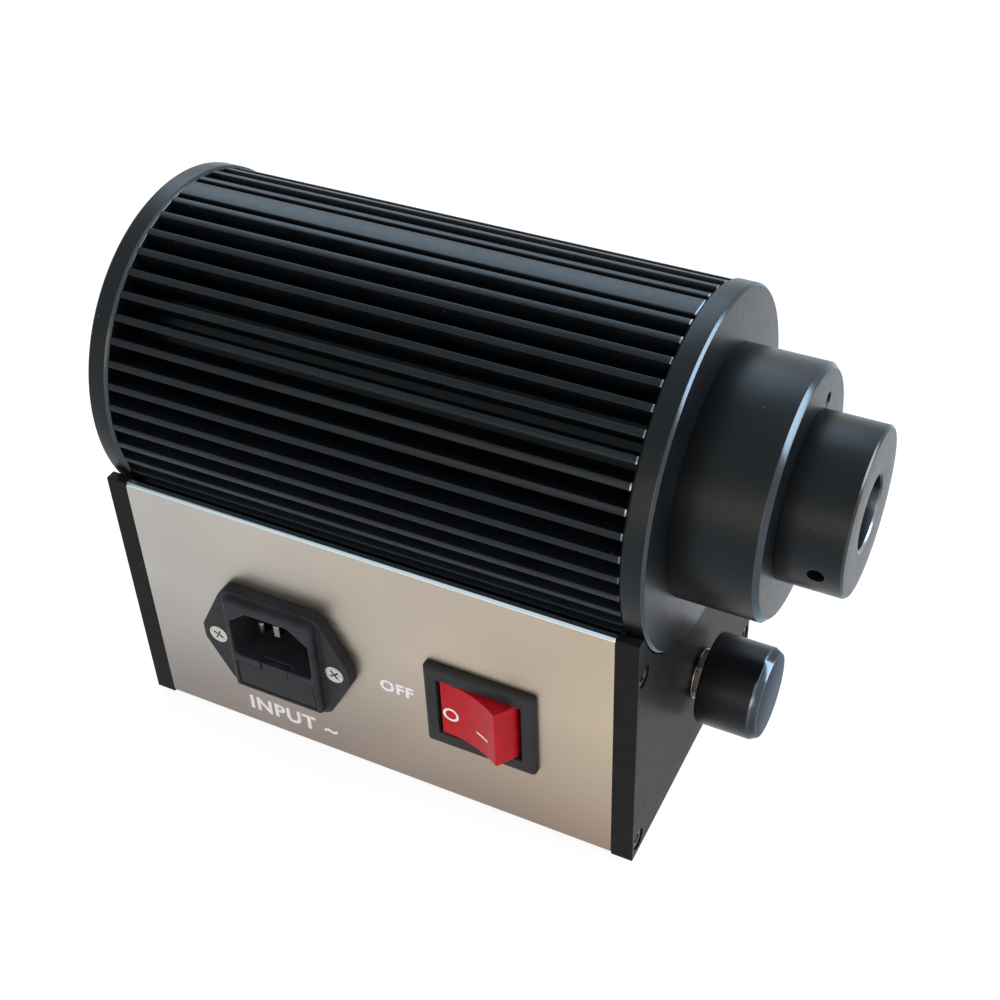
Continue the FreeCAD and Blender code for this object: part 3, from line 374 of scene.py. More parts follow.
def grown(tree, values, points=(), ways=(), width_mm=0.0):
    """Runs a tree on a mesh of points, each with a direction, and returns its plain mesh."""
    mesh = bpy.data.meshes.new(tree.name)
    mesh.from_pydata([[c * 0.001 for c in p] for p in points], [], [])
    if ways:
        way = mesh.attributes.new("way", "FLOAT_VECTOR", "POINT")
        way.data.foreach_set("vector", [c for w in ways for c in w])
    work = bpy.data.objects.new(tree.name, mesh)
    modifier = work.modifiers.new("grow", "NODES")
    modifier.node_group = tree
    for item in tree.interface.items_tree:
        if item.in_out == "INPUT" and item.name in values:
            modifier[item.identifier] = values[item.name]
    scene.collection.objects.link(work)
    if width_mm:
        edge = work.modifiers.new("edges", "BEVEL")
        edge.width, edge.segments, edge.limit_method, edge.angle_limit = width_mm * 0.001, 2, "ANGLE", 0.7
    bpy.context.view_layer.update()
    result = bpy.data.meshes.new_from_object(work.evaluated_get(bpy.context.evaluated_depsgraph_get()))
    bpy.data.objects.remove(work)
    return result


def screw_tree(name, cross):
    """A screw on every point, its head facing the point's direction, with a hexagon or a cross sunk in it."""
    tree, given, result = geometry_tree(name, [
        ("Geometry", "Geometry"), ("Head Radius", "Float"), ("Head Foot Radius", "Float"),
        ("Head Height", "Float"), ("Recess Radius", "Float"), ("Recess Depth", "Float"),
        ("Shank Radius", "Float"), ("Shank Length", "Float"), ("Material", "Material")])
    head = add(tree, "GeometryNodeMeshCone", {"Vertices": 40, "Radius Top": given["Head Radius"],
                                              "Radius Bottom": given["Head Foot Radius"],
                                              "Depth": given["Head Height"]})
    down = add(tree, "ShaderNodeMath", {0: given["Head Height"], 1: -1.0}, operation="MULTIPLY")
    drop = add(tree, "ShaderNodeCombineXYZ", {"Z": down})
    sunk = add(tree, "GeometryNodeTransform", {"Geometry": head.outputs["Mesh"], "Translation": drop})
    deep = add(tree, "ShaderNodeMath", {0: given["Recess Depth"], 1: 2.0}, operation="MULTIPLY")
    cut = add(tree, "GeometryNodeMeshBoolean", {"Mesh 1": sunk}, operation="DIFFERENCE")
    if cross:
        wide, thin = (add(tree, "ShaderNodeMath", {0: given["Recess Radius"], 1: share},
                          operation="MULTIPLY") for share in (2.0, 0.36))
        for x, y in ((wide, thin), (thin, wide)):
            size = add(tree, "ShaderNodeCombineXYZ", {"X": x, "Y": y, "Z": deep})
            bar = add(tree, "GeometryNodeMeshCube", {"Size": size})
            tree.links.new(bar.outputs["Mesh"], cut.inputs["Mesh 2"])
    else:
        key = add(tree, "GeometryNodeMeshCylinder", {"Vertices": 6, "Radius": given["Recess Radius"],
                                                     "Depth": deep})
        tree.links.new(key.outputs["Mesh"], cut.inputs["Mesh 2"])
    shank = add(tree, "GeometryNodeMeshCylinder", {"Vertices": 24, "Radius": given["Shank Radius"],
                                                   "Depth": given["Shank Length"]})
    half = add(tree, "ShaderNodeMath", {0: given["Shank Length"], 1: -0.5, 2: down}, operation="MULTIPLY_ADD")
    lower = add(tree, "ShaderNodeCombineXYZ", {"Z": half})
    shank = add(tree, "GeometryNodeTransform", {"Geometry": shank.outputs["Mesh"], "Translation": lower})
    whole = add(tree, "GeometryNodeJoinGeometry")
    for part in (shank.outputs[0], cut.outputs["Mesh"]):
        tree.links.new(part, whole.inputs[0])
    way = add(tree, "GeometryNodeInputNamedAttribute", {"Name": "way"}, data_type="FLOAT_VECTOR")
    turned = add(tree, "FunctionNodeAlignRotationToVector", {"Vector": way.outputs["Attribute"]}, axis="Z")
    spin = add(tree, "FunctionNodeRandomValue", {2: 0.0, 3: 1.5, "Seed": 7}, data_type="FLOAT")
    about = add(tree, "ShaderNodeCombineXYZ", {"Z": spin.outputs[1]})
    local = add(tree, "FunctionNodeRotateRotation", {"Rotation": turned, "Rotate By": about},
                rotation_space="LOCAL")
    placed = add(tree, "GeometryNodeInstanceOnPoints", {
        "Points": given["Geometry"], "Instance": whole, "Rotation": local})
    return dressed(tree, placed, given, result)


def screws(name, tree, node, seats, way, head, recess, shank, material, body="housing"):
    """Screws of one size, in millimetres: the head's radius, foot radius and height, the recess's radius and
    depth, and the shank's radius and length."""
    values = {"Head Radius": head[0], "Head Foot Radius": head[1], "Head Height": head[2],
              "Recess Radius": recess[0], "Recess Depth": recess[1], "Shank Radius": shank[0],
              "Shank Length": shank[1]}
    values = {key: value * 0.001 for key, value in values.items()}
    values["Material"] = material
    mesh = grown(tree, values, seats, [way] * len(seats), 0.12)
    return put(name, mesh, body, [node], material)


socket_screw, cross_screw = screw_tree("socket_screw", False), screw_tree("cross_screw", True)
cap_head, cap_key, plate_shank = (2.75, 2.75, 3.0), (1.44, 1.8), (1.5, 12.0)
corners = [(y, z) for y in (-40.3, 40.3) for z in (6.7, 67.0)]
for name, node, side in (("front_cap_screws", "front_plate_screws", 1),
                         ("rear_cap_screws", "rear_plate_screws", -1)):
    screws(name, socket_screw, node, [(side * 73.85, y, z) for y, z in corners], (side, 0, 0),
           cap_head, cap_key, plate_shank, screw_black)

# ---- feet and brackets ---------------------------------------------------------------------------
# Four glued rubber feet stand under the channel. Two folded steel brackets inside carry the tube; each is
# held to the channel's floor by two countersunk screws and to the tube's lower land by one cap screw.

# Rubber: dull and dark, with fine dust in its grain. Zinc plated sheet: pale, with a faint blue spangle.
foot_rubber = grained("moulded_rubber", "#1b1b1b", 0.0, 0.75, ("#171717", "#262625"), 700.0, 4000.0, 0.02)[0]
bracket_zinc = grained("zinc_plated_steel", "#a9adb2", 1.0, 0.38, ("#9fa3a8", "#b6babf"),
                       300.0, 2500.0, 0.004)[0]
softened("feet", "rubber_feet", 0.3, foot_rubber)
softened("front_bracket", "front_saddle", 0.2, bracket_zinc)
softened("rear_bracket", "rear_saddle", 0.2, bracket_zinc)
screws("floor_screws", cross_screw, "saddle_floor_screws",
       [(x, y, 2.0) for x in (44.0, -60.0) for y in (-14.0, 14.0)], (0, 0, -1), (2.75, 1.5, 1.25), (1.5, 0.9),
       (1.5, 3.75), bracket_zinc)
screws("tube_screws", socket_screw, "saddle_tube_screws", [(45.0, 0, 48.2), (-59.0, 0, 48.2)], (0, 0, -1),
       (3.67, 3.67, 4.0), (1.9, 2.4), (2.0, 10.0), bracket_zinc)

# ---- finned tube ---------------------------------------------------------------------------------
# The heat sink is one aluminium extrusion, black anodised like the plates: a thick core with 46 tapered fins
# and two broad lands, at the crown and the foot, in 48 even steps. The die leaves fine lines along it.
# The line of the tube is 98.7 mm up, and the extrusion starts at -67.55 mm.
tube_height, tube_start = 98.7, -67.55


def turned_edge(tree, middle_mm, reach_mm, radius_mm, height_mm=tube_height, side="GREATER_THAN",
                rise_mm=None):
    """1 near a distance along X and outside (or inside) a radius about the line at a height, else 0. With two
    levels given, it rises from 0 at the first to 1 at the second."""
    near = add(tree, "ShaderNodeMath", {0: axis_value(tree, "X"), 1: middle_mm * 0.001, 2: reach_mm * 0.001},
               operation="COMPARE")
    level = add(tree, "ShaderNodeMath", {0: axis_value(tree, "Z"), 1: height_mm * 0.001},
                operation="SUBTRACT")
    across = add(tree, "ShaderNodeCombineXYZ", {0: axis_value(tree, "Y"), 1: level})
    radius = add(tree, "ShaderNodeVectorMath", {0: across}, operation="LENGTH")
    outside = add(tree, "ShaderNodeMath", {0: radius.outputs["Value"], 1: radius_mm * 0.001}, operation=side)
    place = add(tree, "ShaderNodeMath", {0: near, 1: outside}, operation="MULTIPLY")
    if rise_mm:
        rise = add(tree, "ShaderNodeMapRange", {"Value": axis_value(tree, "Z"),
                                                "From Min": rise_mm[0] * 0.001,
                                                "From Max": rise_mm[1] * 0.001})
        place = add(tree, "ShaderNodeMath", {0: place, 1: rise}, operation="MULTIPLY")
    return place


fin_black, tree, shader = black_anodised("extruded_black_anodised_fins", ("#0b0e12", "#12161b"), 0.34,
                                         (500.0, (0.02, 6, 6), 0.006), 0.7, 0.18)
# Painted highlight: the upper fins' tips are pale bare metal at the end that faces the nose.
bare_metal_wear_and_painted_light(tree, shader, turned_edge(tree, 68.85, 0.3, 44.0, rise_mm=(86.0, 112.0)), "#737a81")


def finned_extrusion():
    """Outlines of a fin and of a land, set round the axis, welded, filled round the bore and extruded."""
    tree, given, result = geometry_tree("finned_extrusion", [
        ("Fins", "Int"), ("Tip Radius", "Float"), ("Root Radius", "Float"), ("Bore Radius", "Float"),
        ("Tip Width", "Float"), ("Root Width", "Float"), ("Land Tip Width", "Float"),
        ("Land Root Width", "Float"), ("Tip Round", "Float"), ("Length", "Float"), ("Material", "Material")])

    sector = add(tree, "ShaderNodeMath", {0: math.tau, 1: given["Fins"]}, operation="DIVIDE")
    index = add(tree, "GeometryNodeInputIndex")
    from_middle = add(tree, "ShaderNodeMath", {0: index, 1: 2.5}, operation="SUBTRACT")
    side = add(tree, "ShaderNodeMath", {0: from_middle}, operation="SIGN")
    distance = add(tree, "ShaderNodeMath", {0: from_middle}, operation="ABSOLUTE")
    rank = add(tree, "ShaderNodeMath", {0: distance}, operation="FLOOR").outputs[0]

    def chosen(*values):
        """Value at the tip, at the foot and at the sector's end: the chain has two points of each."""
        switch = add(tree, "GeometryNodeIndexSwitch", data_type="FLOAT")
        while len(switch.index_switch_items) < len(values):
            switch.index_switch_items.new()
        tree.links.new(rank, switch.inputs["Index"])
        for place, value in enumerate(values):
            if isinstance(value, float):
                switch.inputs[place + 1].default_value = value
            else:
                tree.links.new(value, switch.inputs[place + 1])
        return switch.outputs[0]

    def up(radius, half_width):
        """Height on a circle above a point half a width to the side."""
        slant, flat = (add(tree, "ShaderNodeMath", {0: length, 1: 2.0}, operation="POWER")
                       for length in (radius, half_width))
        rest = add(tree, "ShaderNodeMath", {0: slant, 1: flat}, operation="SUBTRACT")
        return add(tree, "ShaderNodeMath", {0: rest}, operation="SQRT").outputs[0]

    joined = add(tree, "GeometryNodeJoinGeometry")
    half_sector = add(tree, "ShaderNodeMath", {0: sector, 1: 0.5}, operation="MULTIPLY")
    sine = add(tree, "ShaderNodeMath", {0: half_sector}, operation="SINE")
    end_across = add(tree, "ShaderNodeMath", {0: given["Root Radius"], 1: sine},
                     operation="MULTIPLY").outputs[0]
    for tip_width, root_width in (("Land Tip Width", "Land Root Width"), ("Tip Width", "Root Width")):
        half_tip, half_root = (add(tree, "ShaderNodeMath", {0: given[width], 1: 0.5},
                                   operation="MULTIPLY").outputs[0] for width in (tip_width, root_width))
        across = add(tree, "ShaderNodeMath", {0: side, 1: chosen(half_tip, half_root, end_across)},
                     operation="MULTIPLY")
        height = chosen(up(given["Tip Radius"], half_tip), up(given["Root Radius"], half_root),
                        up(given["Root Radius"], end_across))
        place = add(tree, "ShaderNodeCombineXYZ", {"X": across, "Y": height})
        chain = add(tree, "GeometryNodeMeshLine", {"Count": 6})
        chain = add(tree, "GeometryNodeSetPosition", {"Geometry": chain, "Position": place})
        curve = add(tree, "GeometryNodeMeshToCurve", {0: chain})
        rounded = add(tree, "GeometryNodeFilletCurve", {
            "Curve": curve, "Count": 3, "Radius": chosen(given["Tip Round"], 0.0, 0.0),
            "Limit Radius": True}, mode="POLY")
        edges = add(tree, "GeometryNodeCurveToMesh", {"Curve": rounded})
        one = add(tree, "GeometryNodeGeometryToInstance", {0: edges})
        tree.links.new(one.outputs[0], joined.inputs[0])
    points = add(tree, "GeometryNodePoints", {"Count": given["Fins"]})
    half_fins = add(tree, "ShaderNodeMath", {0: given["Fins"], 1: 0.5}, operation="MULTIPLY")
    from_land = add(tree, "ShaderNodeMath", {0: index, 1: half_fins}, operation="MODULO")
    is_land = add(tree, "ShaderNodeMath", {0: from_land, 1: 0.0, 2: 0.1}, operation="COMPARE")
    turned = add(tree, "ShaderNodeMath", {0: index, 1: sector}, operation="MULTIPLY")
    angle = add(tree, "ShaderNodeMath", {0: turned, 1: -1.0}, operation="MULTIPLY")
    turn = add(tree, "ShaderNodeCombineXYZ", {"Z": angle})
    ring = add(tree, "GeometryNodeInstanceOnPoints", {
        "Points": points, "Instance": joined, "Pick Instance": True,
        "Instance Index": is_land, "Rotation": turn})
    real = add(tree, "GeometryNodeRealizeInstances", {0: ring})
    welded = add(tree, "GeometryNodeMergeByDistance", {"Geometry": real, "Distance": 0.00002})
    skin = add(tree, "GeometryNodeMeshToCurve", {0: welded})
    bore = add(tree, "GeometryNodeCurvePrimitiveCircle", {"Resolution": 96, "Radius": given["Bore Radius"]})
    both = add(tree, "GeometryNodeJoinGeometry")
    for part in (skin.outputs[0], bore.outputs[0]):
        tree.links.new(part, both.inputs[0])
    face = add(tree, "GeometryNodeFillCurve", {0: both})
    pushed = add(tree, "GeometryNodeExtrudeMesh", {"Mesh": face, "Offset Scale": given["Length"],
                                                   "Individual": False})
    back = add(tree, "GeometryNodeFlipFaces", {0: face})
    closed = add(tree, "GeometryNodeJoinGeometry")
    for part in (pushed.outputs[0], back.outputs[0]):
        tree.links.new(part, closed.inputs[0])
    whole = add(tree, "GeometryNodeMergeByDistance", {"Geometry": closed, "Distance": 0.00001})
    laid = add(tree, "GeometryNodeTransform", {
        "Geometry": whole, "Rotation": (math.pi / 2, 0, math.pi / 2),
        "Translation": (tube_start * 0.001, 0, tube_height * 0.001)})
    return dressed(tree, laid, given, result)


sink_sizes = {"Tip Radius": 44.5, "Root Radius": 32.0, "Bore Radius": 20.5, "Tip Width": 1.85,
              "Root Width": 2.3, "Land Tip Width": 6.5, "Land Root Width": 4.15, "Tip Round": 0.25,
              "Length": 136.5}
sink_values = {key: value * 0.001 for key, value in sink_sizes.items()}
sink_values.update({"Fins": 48, "Material": fin_black})
put("finned_tube", grown(finned_extrusion(), sink_values), "housing", ["heat_sink"], fin_black)

# ---- end discs -----------------------------------------------------------------------------------
# Two turned discs close the tube. Each has a broken edge that shows as a bright line and four countersunk
# screws; the front one has a threaded spigot under the nose, which hides its screws.


def turned_piece(corners, height=tube_height, steps=144, closed=True):
    """Mesh spun about a line along X. Each corner is (distance along, radius, rounding), in millimetres."""
    outline = []
    count = len(corners)
    for k, (x, r, soft) in enumerate(corners):
        here = Vector((x, r))
        if soft == 0 or (not closed and k in (0, count - 1)):
            outline.append(here)
            continue
        before, after = Vector(corners[k - 1][:2]) - here, Vector(corners[(k + 1) % count][:2]) - here
        angle = before.angle(after)
        reach = min(soft / math.tan(angle / 2), before.length * 0.48, after.length * 0.48)
        start, end = here + before.normalized() * reach, here + after.normalized() * reach
        for t in (0.0, 0.33, 0.67, 1.0):
            outline.append(start * (1 - t) ** 2 + here * (2 * t * (1 - t)) + end * t ** 2)
    solid = bmesh.new()
    rings = []
    for x, r in outline:
        if r < 1e-6:
            rings.append([solid.verts.new((x * 0.001, 0, height * 0.001))])
            continue
        rings.append([solid.verts.new((x * 0.001, r * 0.001 * math.sin(math.tau * k / steps),
                                       (height + r * math.cos(math.tau * k / steps)) * 0.001))
                      for k in range(steps)])
    pairs = list(zip(rings, rings[1:])) + ([(rings[-1], rings[0])] if closed else [])
    for a, b in pairs:
        for k in range(steps):
            m = (k + 1) % steps
            quad = [a[k % len(a)], a[m % len(a)], b[m % len(b)], b[k % len(b)]]
            quad = [v for i, v in enumerate(quad) if v not in quad[:i]]
            if len(quad) > 2:
                solid.faces.new(quad)
    bmesh.ops.recalc_face_normals(solid, faces=solid.faces)
    mesh = bpy.data.meshes.new("turned")
    solid.to_mesh(mesh)
    solid.free()
    return mesh


def drill(start, way, outline):
    """Round cutter from (distance, radius) pairs, in millimetres, along a direction."""
    mesh = turned_piece([(x, r, 0) for x, r in outline], 0.0, 40, closed=False)
    turn = Vector((1, 0, 0)).rotation_difference(Vector(way)).to_matrix().to_4x4()
    mesh.transform(Matrix.Translation(Vector(start) * 0.001) @ turn)
    return mesh


def ring_place(radius, degrees, x):
    """Point round the tube's axis, from the top towards +Y."""
    angle = math.radians(degrees)
    return (x, radius * math.sin(angle), tube_height + radius * math.cos(angle))


def turning_marks(tree, shader, height_mm):
    """Rings about the line at a height. They are 1.6 mm apart, because real ones are ten times as fine and
    wouldn't show, and so shallow that they only soften the gloss."""
    place = add(tree, "ShaderNodeTexCoord").outputs["Object"]
    centred = add(tree, "ShaderNodeMapping", {"Vector": place, "Location": (0, 0, height_mm * -0.001)})
    rings = add(tree, "ShaderNodeTexWave", {"Vector": centred, "Scale": 200.0, "Distortion": 0.4,
                                            "Detail": 1.0}, wave_type="RINGS", rings_direction="X")
    relief(tree, shader, rings.outputs["Fac"], 0.0008)


# Turned black anodised aluminium: like the plates but smoother, with the tool's rings in it. On a turned edge
# the black skin is thin, and the metal glints through it.
turned_black, tree, shader = black_anodised("turned_black_anodised_aluminium", ("#0a0b0d", "#101214"), 0.34)
turning_marks(tree, shader, tube_height)
for edge, colour in (((74.6, 0.4, 44.3), "#42474b"), ((-67.9, 0.4, 44.3), "#42474b"),
                     ((95.6, 0.7, 29.9), "#42474b"), ((111.85, 0.3, 20.0), "#45423f")):
    bare_metal_wear_and_painted_light(tree, shader, turned_edge(tree, *edge), colour)
# Painted highlight: the lower side of the bore's mouth is pale bare metal.
bare_metal_wear_and_painted_light(tree, shader, turned_edge(tree, 110.0, 2.4, 9.7, side="LESS_THAN", rise_mm=(99.5, 93.5)), "#858c95")
rear_face, front_face, disc_width = -73.55, 74.95, 6.0
countersink = [(-1.0, 0), (-1.0, 5.05), (2.05, 2.15), (7.0, 2.15), (7.0, 0)]


def end_disc(start, bore, spigot):
    """Outline of a disc; the front one has a bore and a spigot."""
    end = start + disc_width
    rim = [(start, 44.3, 0.2), (start + 0.7, 45.0, 0.2), (end - 0.7, 45.0, 0.2), (end, 44.3, 0.2)]
    if not spigot:
        return [(start, 0, 0)] + rim + [(end, 0, 0)]
    return [(start, bore, 0)] + rim + [(end, 22.6, 0), (end + 6.0, 22.6, 0), (end + 6.0, bore, 0)]


rear_seats, front_seats = ([ring_place(27.2, degrees, face) for degrees in (45, 135, 225, 315)]
                           for face in (rear_face, front_face))
rear_cuts = [drill(seat, (1, 0, 0), countersink) for seat in rear_seats]
front_cuts = [drill(seat, (-1, 0, 0), countersink) for seat in front_seats]
rear_disc = turned_piece(end_disc(rear_face, 0, False), closed=False)
front_disc = turned_piece(end_disc(front_face - disc_width, 16.0, True))
put("rear_end_disc", finished(rear_disc, 0, cutters=rear_cuts), "housing", ["rear_disc"],
    turned_black)
put("front_end_disc", finished(front_disc, 0, cutters=front_cuts), "housing", ["front_disc"],
    turned_black)
sunk_head, sunk_key, disc_shank = (3.9, 2.0, 1.9), (1.45, 1.4), (2.0, 16.1)
for name, node, seats, side in (("rear_disc_sunk_screws", "rear_disc_screws", rear_seats, -1),
                                ("front_disc_sunk_screws", "front_disc_screws", front_seats, 1)):
    screws(name, socket_screw, node, seats, (side, 0, 0), sunk_head, sunk_key, disc_shank,
           screw_black)

# ---- nose, lens and light-guide adapter ----------------------------------------------------------
# The nose barrel screws over the front disc's spigot and holds the condenser lens behind a threaded ring. The
# adapter's spigot sits in it; its bore takes the light guide, which a grub screw clamps from the side.
nose = turned_piece([(front_face, 22.63, 0), (front_face, 31.25, 0.15), (94.95, 31.25, 0.25),
                     (96.25, 29.95, 0.2), (96.25, 12.03, 0), (91.15, 12.03, 0), (91.15, 16.0, 0),
                     (88.53, 16.0, 0), (88.53, 19.05, 0), (81.1, 19.05, 0), (81.1, 22.63, 0)])
pin_hole = drill(ring_place(22.6, 35, 97.25), (-1, 0, 0),
                 [(0, 0), (0, 3.0), (1.4, 1.6), (5.0, 1.6), (5.0, 0)])
put("nose", finished(nose, 0, cutters=[pin_hole]), "housing", ["nose_barrel"], turned_black)
adapter = turned_piece([(91.15, 9.0, 0), (91.15, 12.0, 0), (96.25, 12.0, 0), (96.25, 20.6, 0.2),
                        (111.5, 20.6, 0.15), (112.1, 20.0, 0.15), (112.1, 9.5, 0.1), (111.6, 9.0, 0.1)])
clamp_way = (0.0, math.cos(math.radians(14.0)), math.sin(math.radians(14.0)))
clamp_hole = drill([106.0, -22 * clamp_way[1], tube_height - 22 * clamp_way[2]], clamp_way,
                   [(0, 0), (0, 2.05), (14.5, 2.05), (14.5, 0)])
put("light_guide_adapter", finished(adapter, 0, cutters=[clamp_hole]), "housing", ["fibre_adapter"],
    turned_black)
softened("clamp_grub_screw", "clamp_screw", 0.1, screw_black, "clamp")
softened("lens_holding_ring", "lens_ring", 0.15, turned_black)

# Coated crown glass: clear, with a faint cool tint.
lens_glass, tree, shader = metal_or_paint("coated_lens_glass", "#f2f8ff", 0.0, 0.02, IOR=1.52,
                                          Transmission_Weight=1.0)
rough(tree, shader, grain(tree, 400.0), 0.01, 0.05)
softened("lens", "condenser_lens", 0.15, lens_glass)

# ---- dimmer --------------------------------------------------------------------------------------
# The dimmer's bush passes through the front plate and is held by a washer and a thin nut. The knob is turned
# aluminium, black anodised, with a broad chamfer round its face and a grub screw underneath.
knob_height = 29.7
knob_black, tree, shader = black_anodised("turned_black_anodised_knob", ("#0d0d0e", "#141415"), 0.32,
                                          sheen=0.22, cast="#b8c0ca")
turning_marks(tree, shader, knob_height)
# Painted shade: the face is a dark metal, so that little shows in it, and its edge is worn bright. Painted
# highlight: the side of the chamfer that is up at rest is a paler, glossier metal.
bare_metal_wear_and_painted_light(tree, shader, turned_edge(tree, 94.0, 0.1, 0.0, knob_height), "#28292c", 0.3)
for edge, colour in (((92.95, 0.95, 11.2), "#454c56"), ((91.9, 0.3, 12.1), "#5f6770")):
    bare_metal_wear_and_painted_light(tree, shader, turned_edge(tree, *edge, knob_height, rise_mm=(25.0, 37.0)), colour, 0.13)
bare_metal_wear_and_painted_light(tree, shader, turned_edge(tree, 93.9, 0.25, 11.0, knob_height), "#5a5c60")
knob = turned_piece([(79.05, 0, 0), (79.05, 5.4, 0), (77.45, 5.4, 0), (77.45, 12.1, 0), (77.85, 12.5, 0.1),
                     (91.95, 12.5, 0.25), (93.95, 11.4, 0.3), (93.95, 0, 0)], knob_height, 96, closed=False)
grub_hole = drill((84.45, 0, 16.0), (0, 0, 1), [(0, 0), (0, 1.53), (10.7, 1.53), (10.7, 0)])
put("knob", finished(knob, 0, cutters=[grub_hole]), "dimmer", ["dimmer_knob"], knob_black)
softened("knob_grub", "knob_grub_screw", 0.1, screw_black, "dimmer")

# Nickel plate: a warm grey mirror, slightly softened by handling.
nut_nickel, tree, shader = grained("nickel_plate", "#7a7977", 1.0, 0.22, ("#706f6d", "#858480"),
                                   500.0, 3000.0, 0.0004)
rough(tree, shader, grain(tree, 800.0), 0.18, 0.3)
softened("nut", "dimmer_nut", 0.2, nut_nickel)
softened("washer", "dimmer_washer", 0.1, nut_nickel)
softened("bush", "dimmer_bush", 0.3, nut_nickel)
softened("shaft", "dimmer_shaft", 0.2, nut_nickel, "dimmer")

# ---- inlet ---------------------------------------------------------------------------------------
# A moulded mains inlet with three flat pins in its socket and a fuse drawer below it, fixed to the panel by
# two bright countersunk screws with nuts behind.


def moulded(name, colours, roughness, depth_mm, scale=4500.0, gloss=0.1, **more):
    """Moulded plastic with the fine grain of a spark-eroded mould."""
    made, tree, shader = metal_or_paint(name, colours[0], 0.0, roughness, IOR=1.5, Specular_IOR_Level=gloss,
                                        **more)
    tint(tree, shader, grain(tree, 250.0), colours)
    rough(tree, shader, grain(tree, 600.0), roughness - 0.05, roughness + 0.08)
    relief(tree, shader, grain(tree, scale, detail=1.0), depth_mm)
    return made


# Moulded polyamide: black, greyed by its grain in slanting light.
inlet_black = moulded("moulded_black_polyamide", ("#24272a", "#2d3034"), 0.42, 0.012)
softened("inlet", "inlet_body", 0.3, inlet_black, steps=3)
softened("fuse_drawer_front", "fuse_drawer", 0.25, inlet_black, "fuse_tray")
# Nickel plate on the pins, dulled by the plugs, and bright zinc plate on the screws.
pin_nickel = grained("rubbed_pin_nickel", "#77746f", 1.0, 0.28, ("#6f6c67", "#827f79"),
                     500.0, 3000.0, 0.0004)[0]
screw_zinc = grained("bright_zinc_plate", "#c9c5bb", 1.0, 0.25, ("#a9a69f", "#cac7c0"),
                     900.0, 2500.0, 0.006)[0]
softened("pins", "inlet_pins", 0.15, pin_nickel)
inlet_middle, inlet_reach = -26.7, 18.0
screws("inlet_cross_screws", cross_screw, "inlet_screws",
       [(inlet_middle + side * inlet_reach, -47.4, 38.0) for side in (-1, 1)], (0, -1, 0), (2.75, 1.5, 1.25),
       (1.55, 1.0), (1.5, 10.75), screw_zinc)

# ---- switch --------------------------------------------------------------------------------------
# A snap-in rocker switch: a black moulded bezel and a red rocker with a hollow face, tipped to its off side.
# Its ring and bar are hot-stamped in white. The panel is screen-printed beside and under the fittings.
# Moulded polyamide like the inlet's, a shade smoother.
bezel_black = moulded("moulded_black_bezel", ("#262728", "#2f3032"), 0.38, 0.01)
softened("switch_frame", "switch_body", 0.3, bezel_black, steps=3)
# Moulded polycarbonate: a deep red, smooth from the mould, with a soft gloss and a little light inside.
rocker_red = moulded("moulded_red_polycarbonate", ("#a70f1b", "#b41722"), 0.3, 0.002, 2500.0, 0.1,
                     Subsurface_Weight=0.08, Subsurface_Scale=0.002)
rocker_cap = softened("rocker_cap", "rocker", 0.2, rocker_red, "rocker", 3)

# Screen and hot-stamping ink: flat white, a little worn and pale blue in the thin places.
print_white = grained("white_screen_ink", "#e2e6ee", 0.0, 0.5, ("#d0d6e0", "#eceef2"),
                      1500.0, 4000.0, 0.003, low=0.35, high=0.6)[0]
# The panel's face is at -0.0442, and capitals take up 0.69 of the size that a font is set in.
print_level, capital_share = -0.044215, 0.69


def printed(name, words, height, middle):
    """Words printed on the panel, with the height of their capitals and their middle, in millimetres."""
    letters = bpy.data.curves.new(name, "FONT")
    letters.body, letters.align_x, letters.align_y = words, "CENTER", "CENTER"
    letters.size = height * 0.001 / capital_share
    letters.extrude, letters.offset = 0.00001, height * 0.00005
    letters.space_character = 1.12
    work = bpy.data.objects.new(name, letters)
    scene.collection.objects.link(work)
    bpy.context.view_layer.update()
    mesh = bpy.data.meshes.new_from_object(work.evaluated_get(bpy.context.evaluated_depsgraph_get()))
    bpy.data.objects.remove(work)
    turn = Matrix.Rotation(math.pi / 2, 4, "X")
    mesh.transform(Matrix.Translation((middle[0] * 0.001, print_level, middle[1] * 0.001)) @ turn)
    put(name, mesh, "housing", [], print_white)


printed("printed_off", "OFF", 3.6, (8.0, 36.8))
printed("printed_input", "INPUT ~", 4.8, (-27.0, 10.2))
rocker_pivot = Vector((0.0327485, -0.0404, 0.0382))
rocker_tilt = Matrix.Rotation(math.radians(-15), 3, "Z")


def stamped(name, outline, closed):
    """Flat band laid on the rocker's hollow face, closed to a ring or not. Each two points are its two sides,
    as (along, up) from the rocker's middle, in millimetres."""
    outward = rocker_tilt @ Vector((0, -1, 0))
    solid = bmesh.new()
    layers = []
    for proud in (0.00002, -0.00003):
        layer = []
        for along, up in outline:
            start = rocker_pivot + rocker_tilt @ Vector((along * 0.001, -0.02, up * 0.001))
            place = rocker_cap.ray_cast(start, -outward)[1]
            layer.append(solid.verts.new(place + outward * proud))
        layers.append(layer)
    top, bottom = layers
    count = len(outline) // 2
    for k in range(count if closed else count - 1):
        a, b = 2 * k, 2 * ((k + 1) % count)
        solid.faces.new((top[a], top[a + 1], top[b + 1], top[b]))
        solid.faces.new((bottom[b], bottom[b + 1], bottom[a + 1], bottom[a]))
        solid.faces.new((top[a], top[b], bottom[b], bottom[a]))
        solid.faces.new((top[b + 1], top[a + 1], bottom[a + 1], bottom[b + 1]))
    if not closed:
        for a in (0, 2 * count - 2):
            solid.faces.new((top[a], top[a + 1], bottom[a + 1], bottom[a]))
    bmesh.ops.recalc_face_normals(solid, faces=solid.faces)
    mesh = bpy.data.meshes.new(name)
    solid.to_mesh(mesh)
    solid.free()
    put(name, mesh, "rocker", [], print_white)


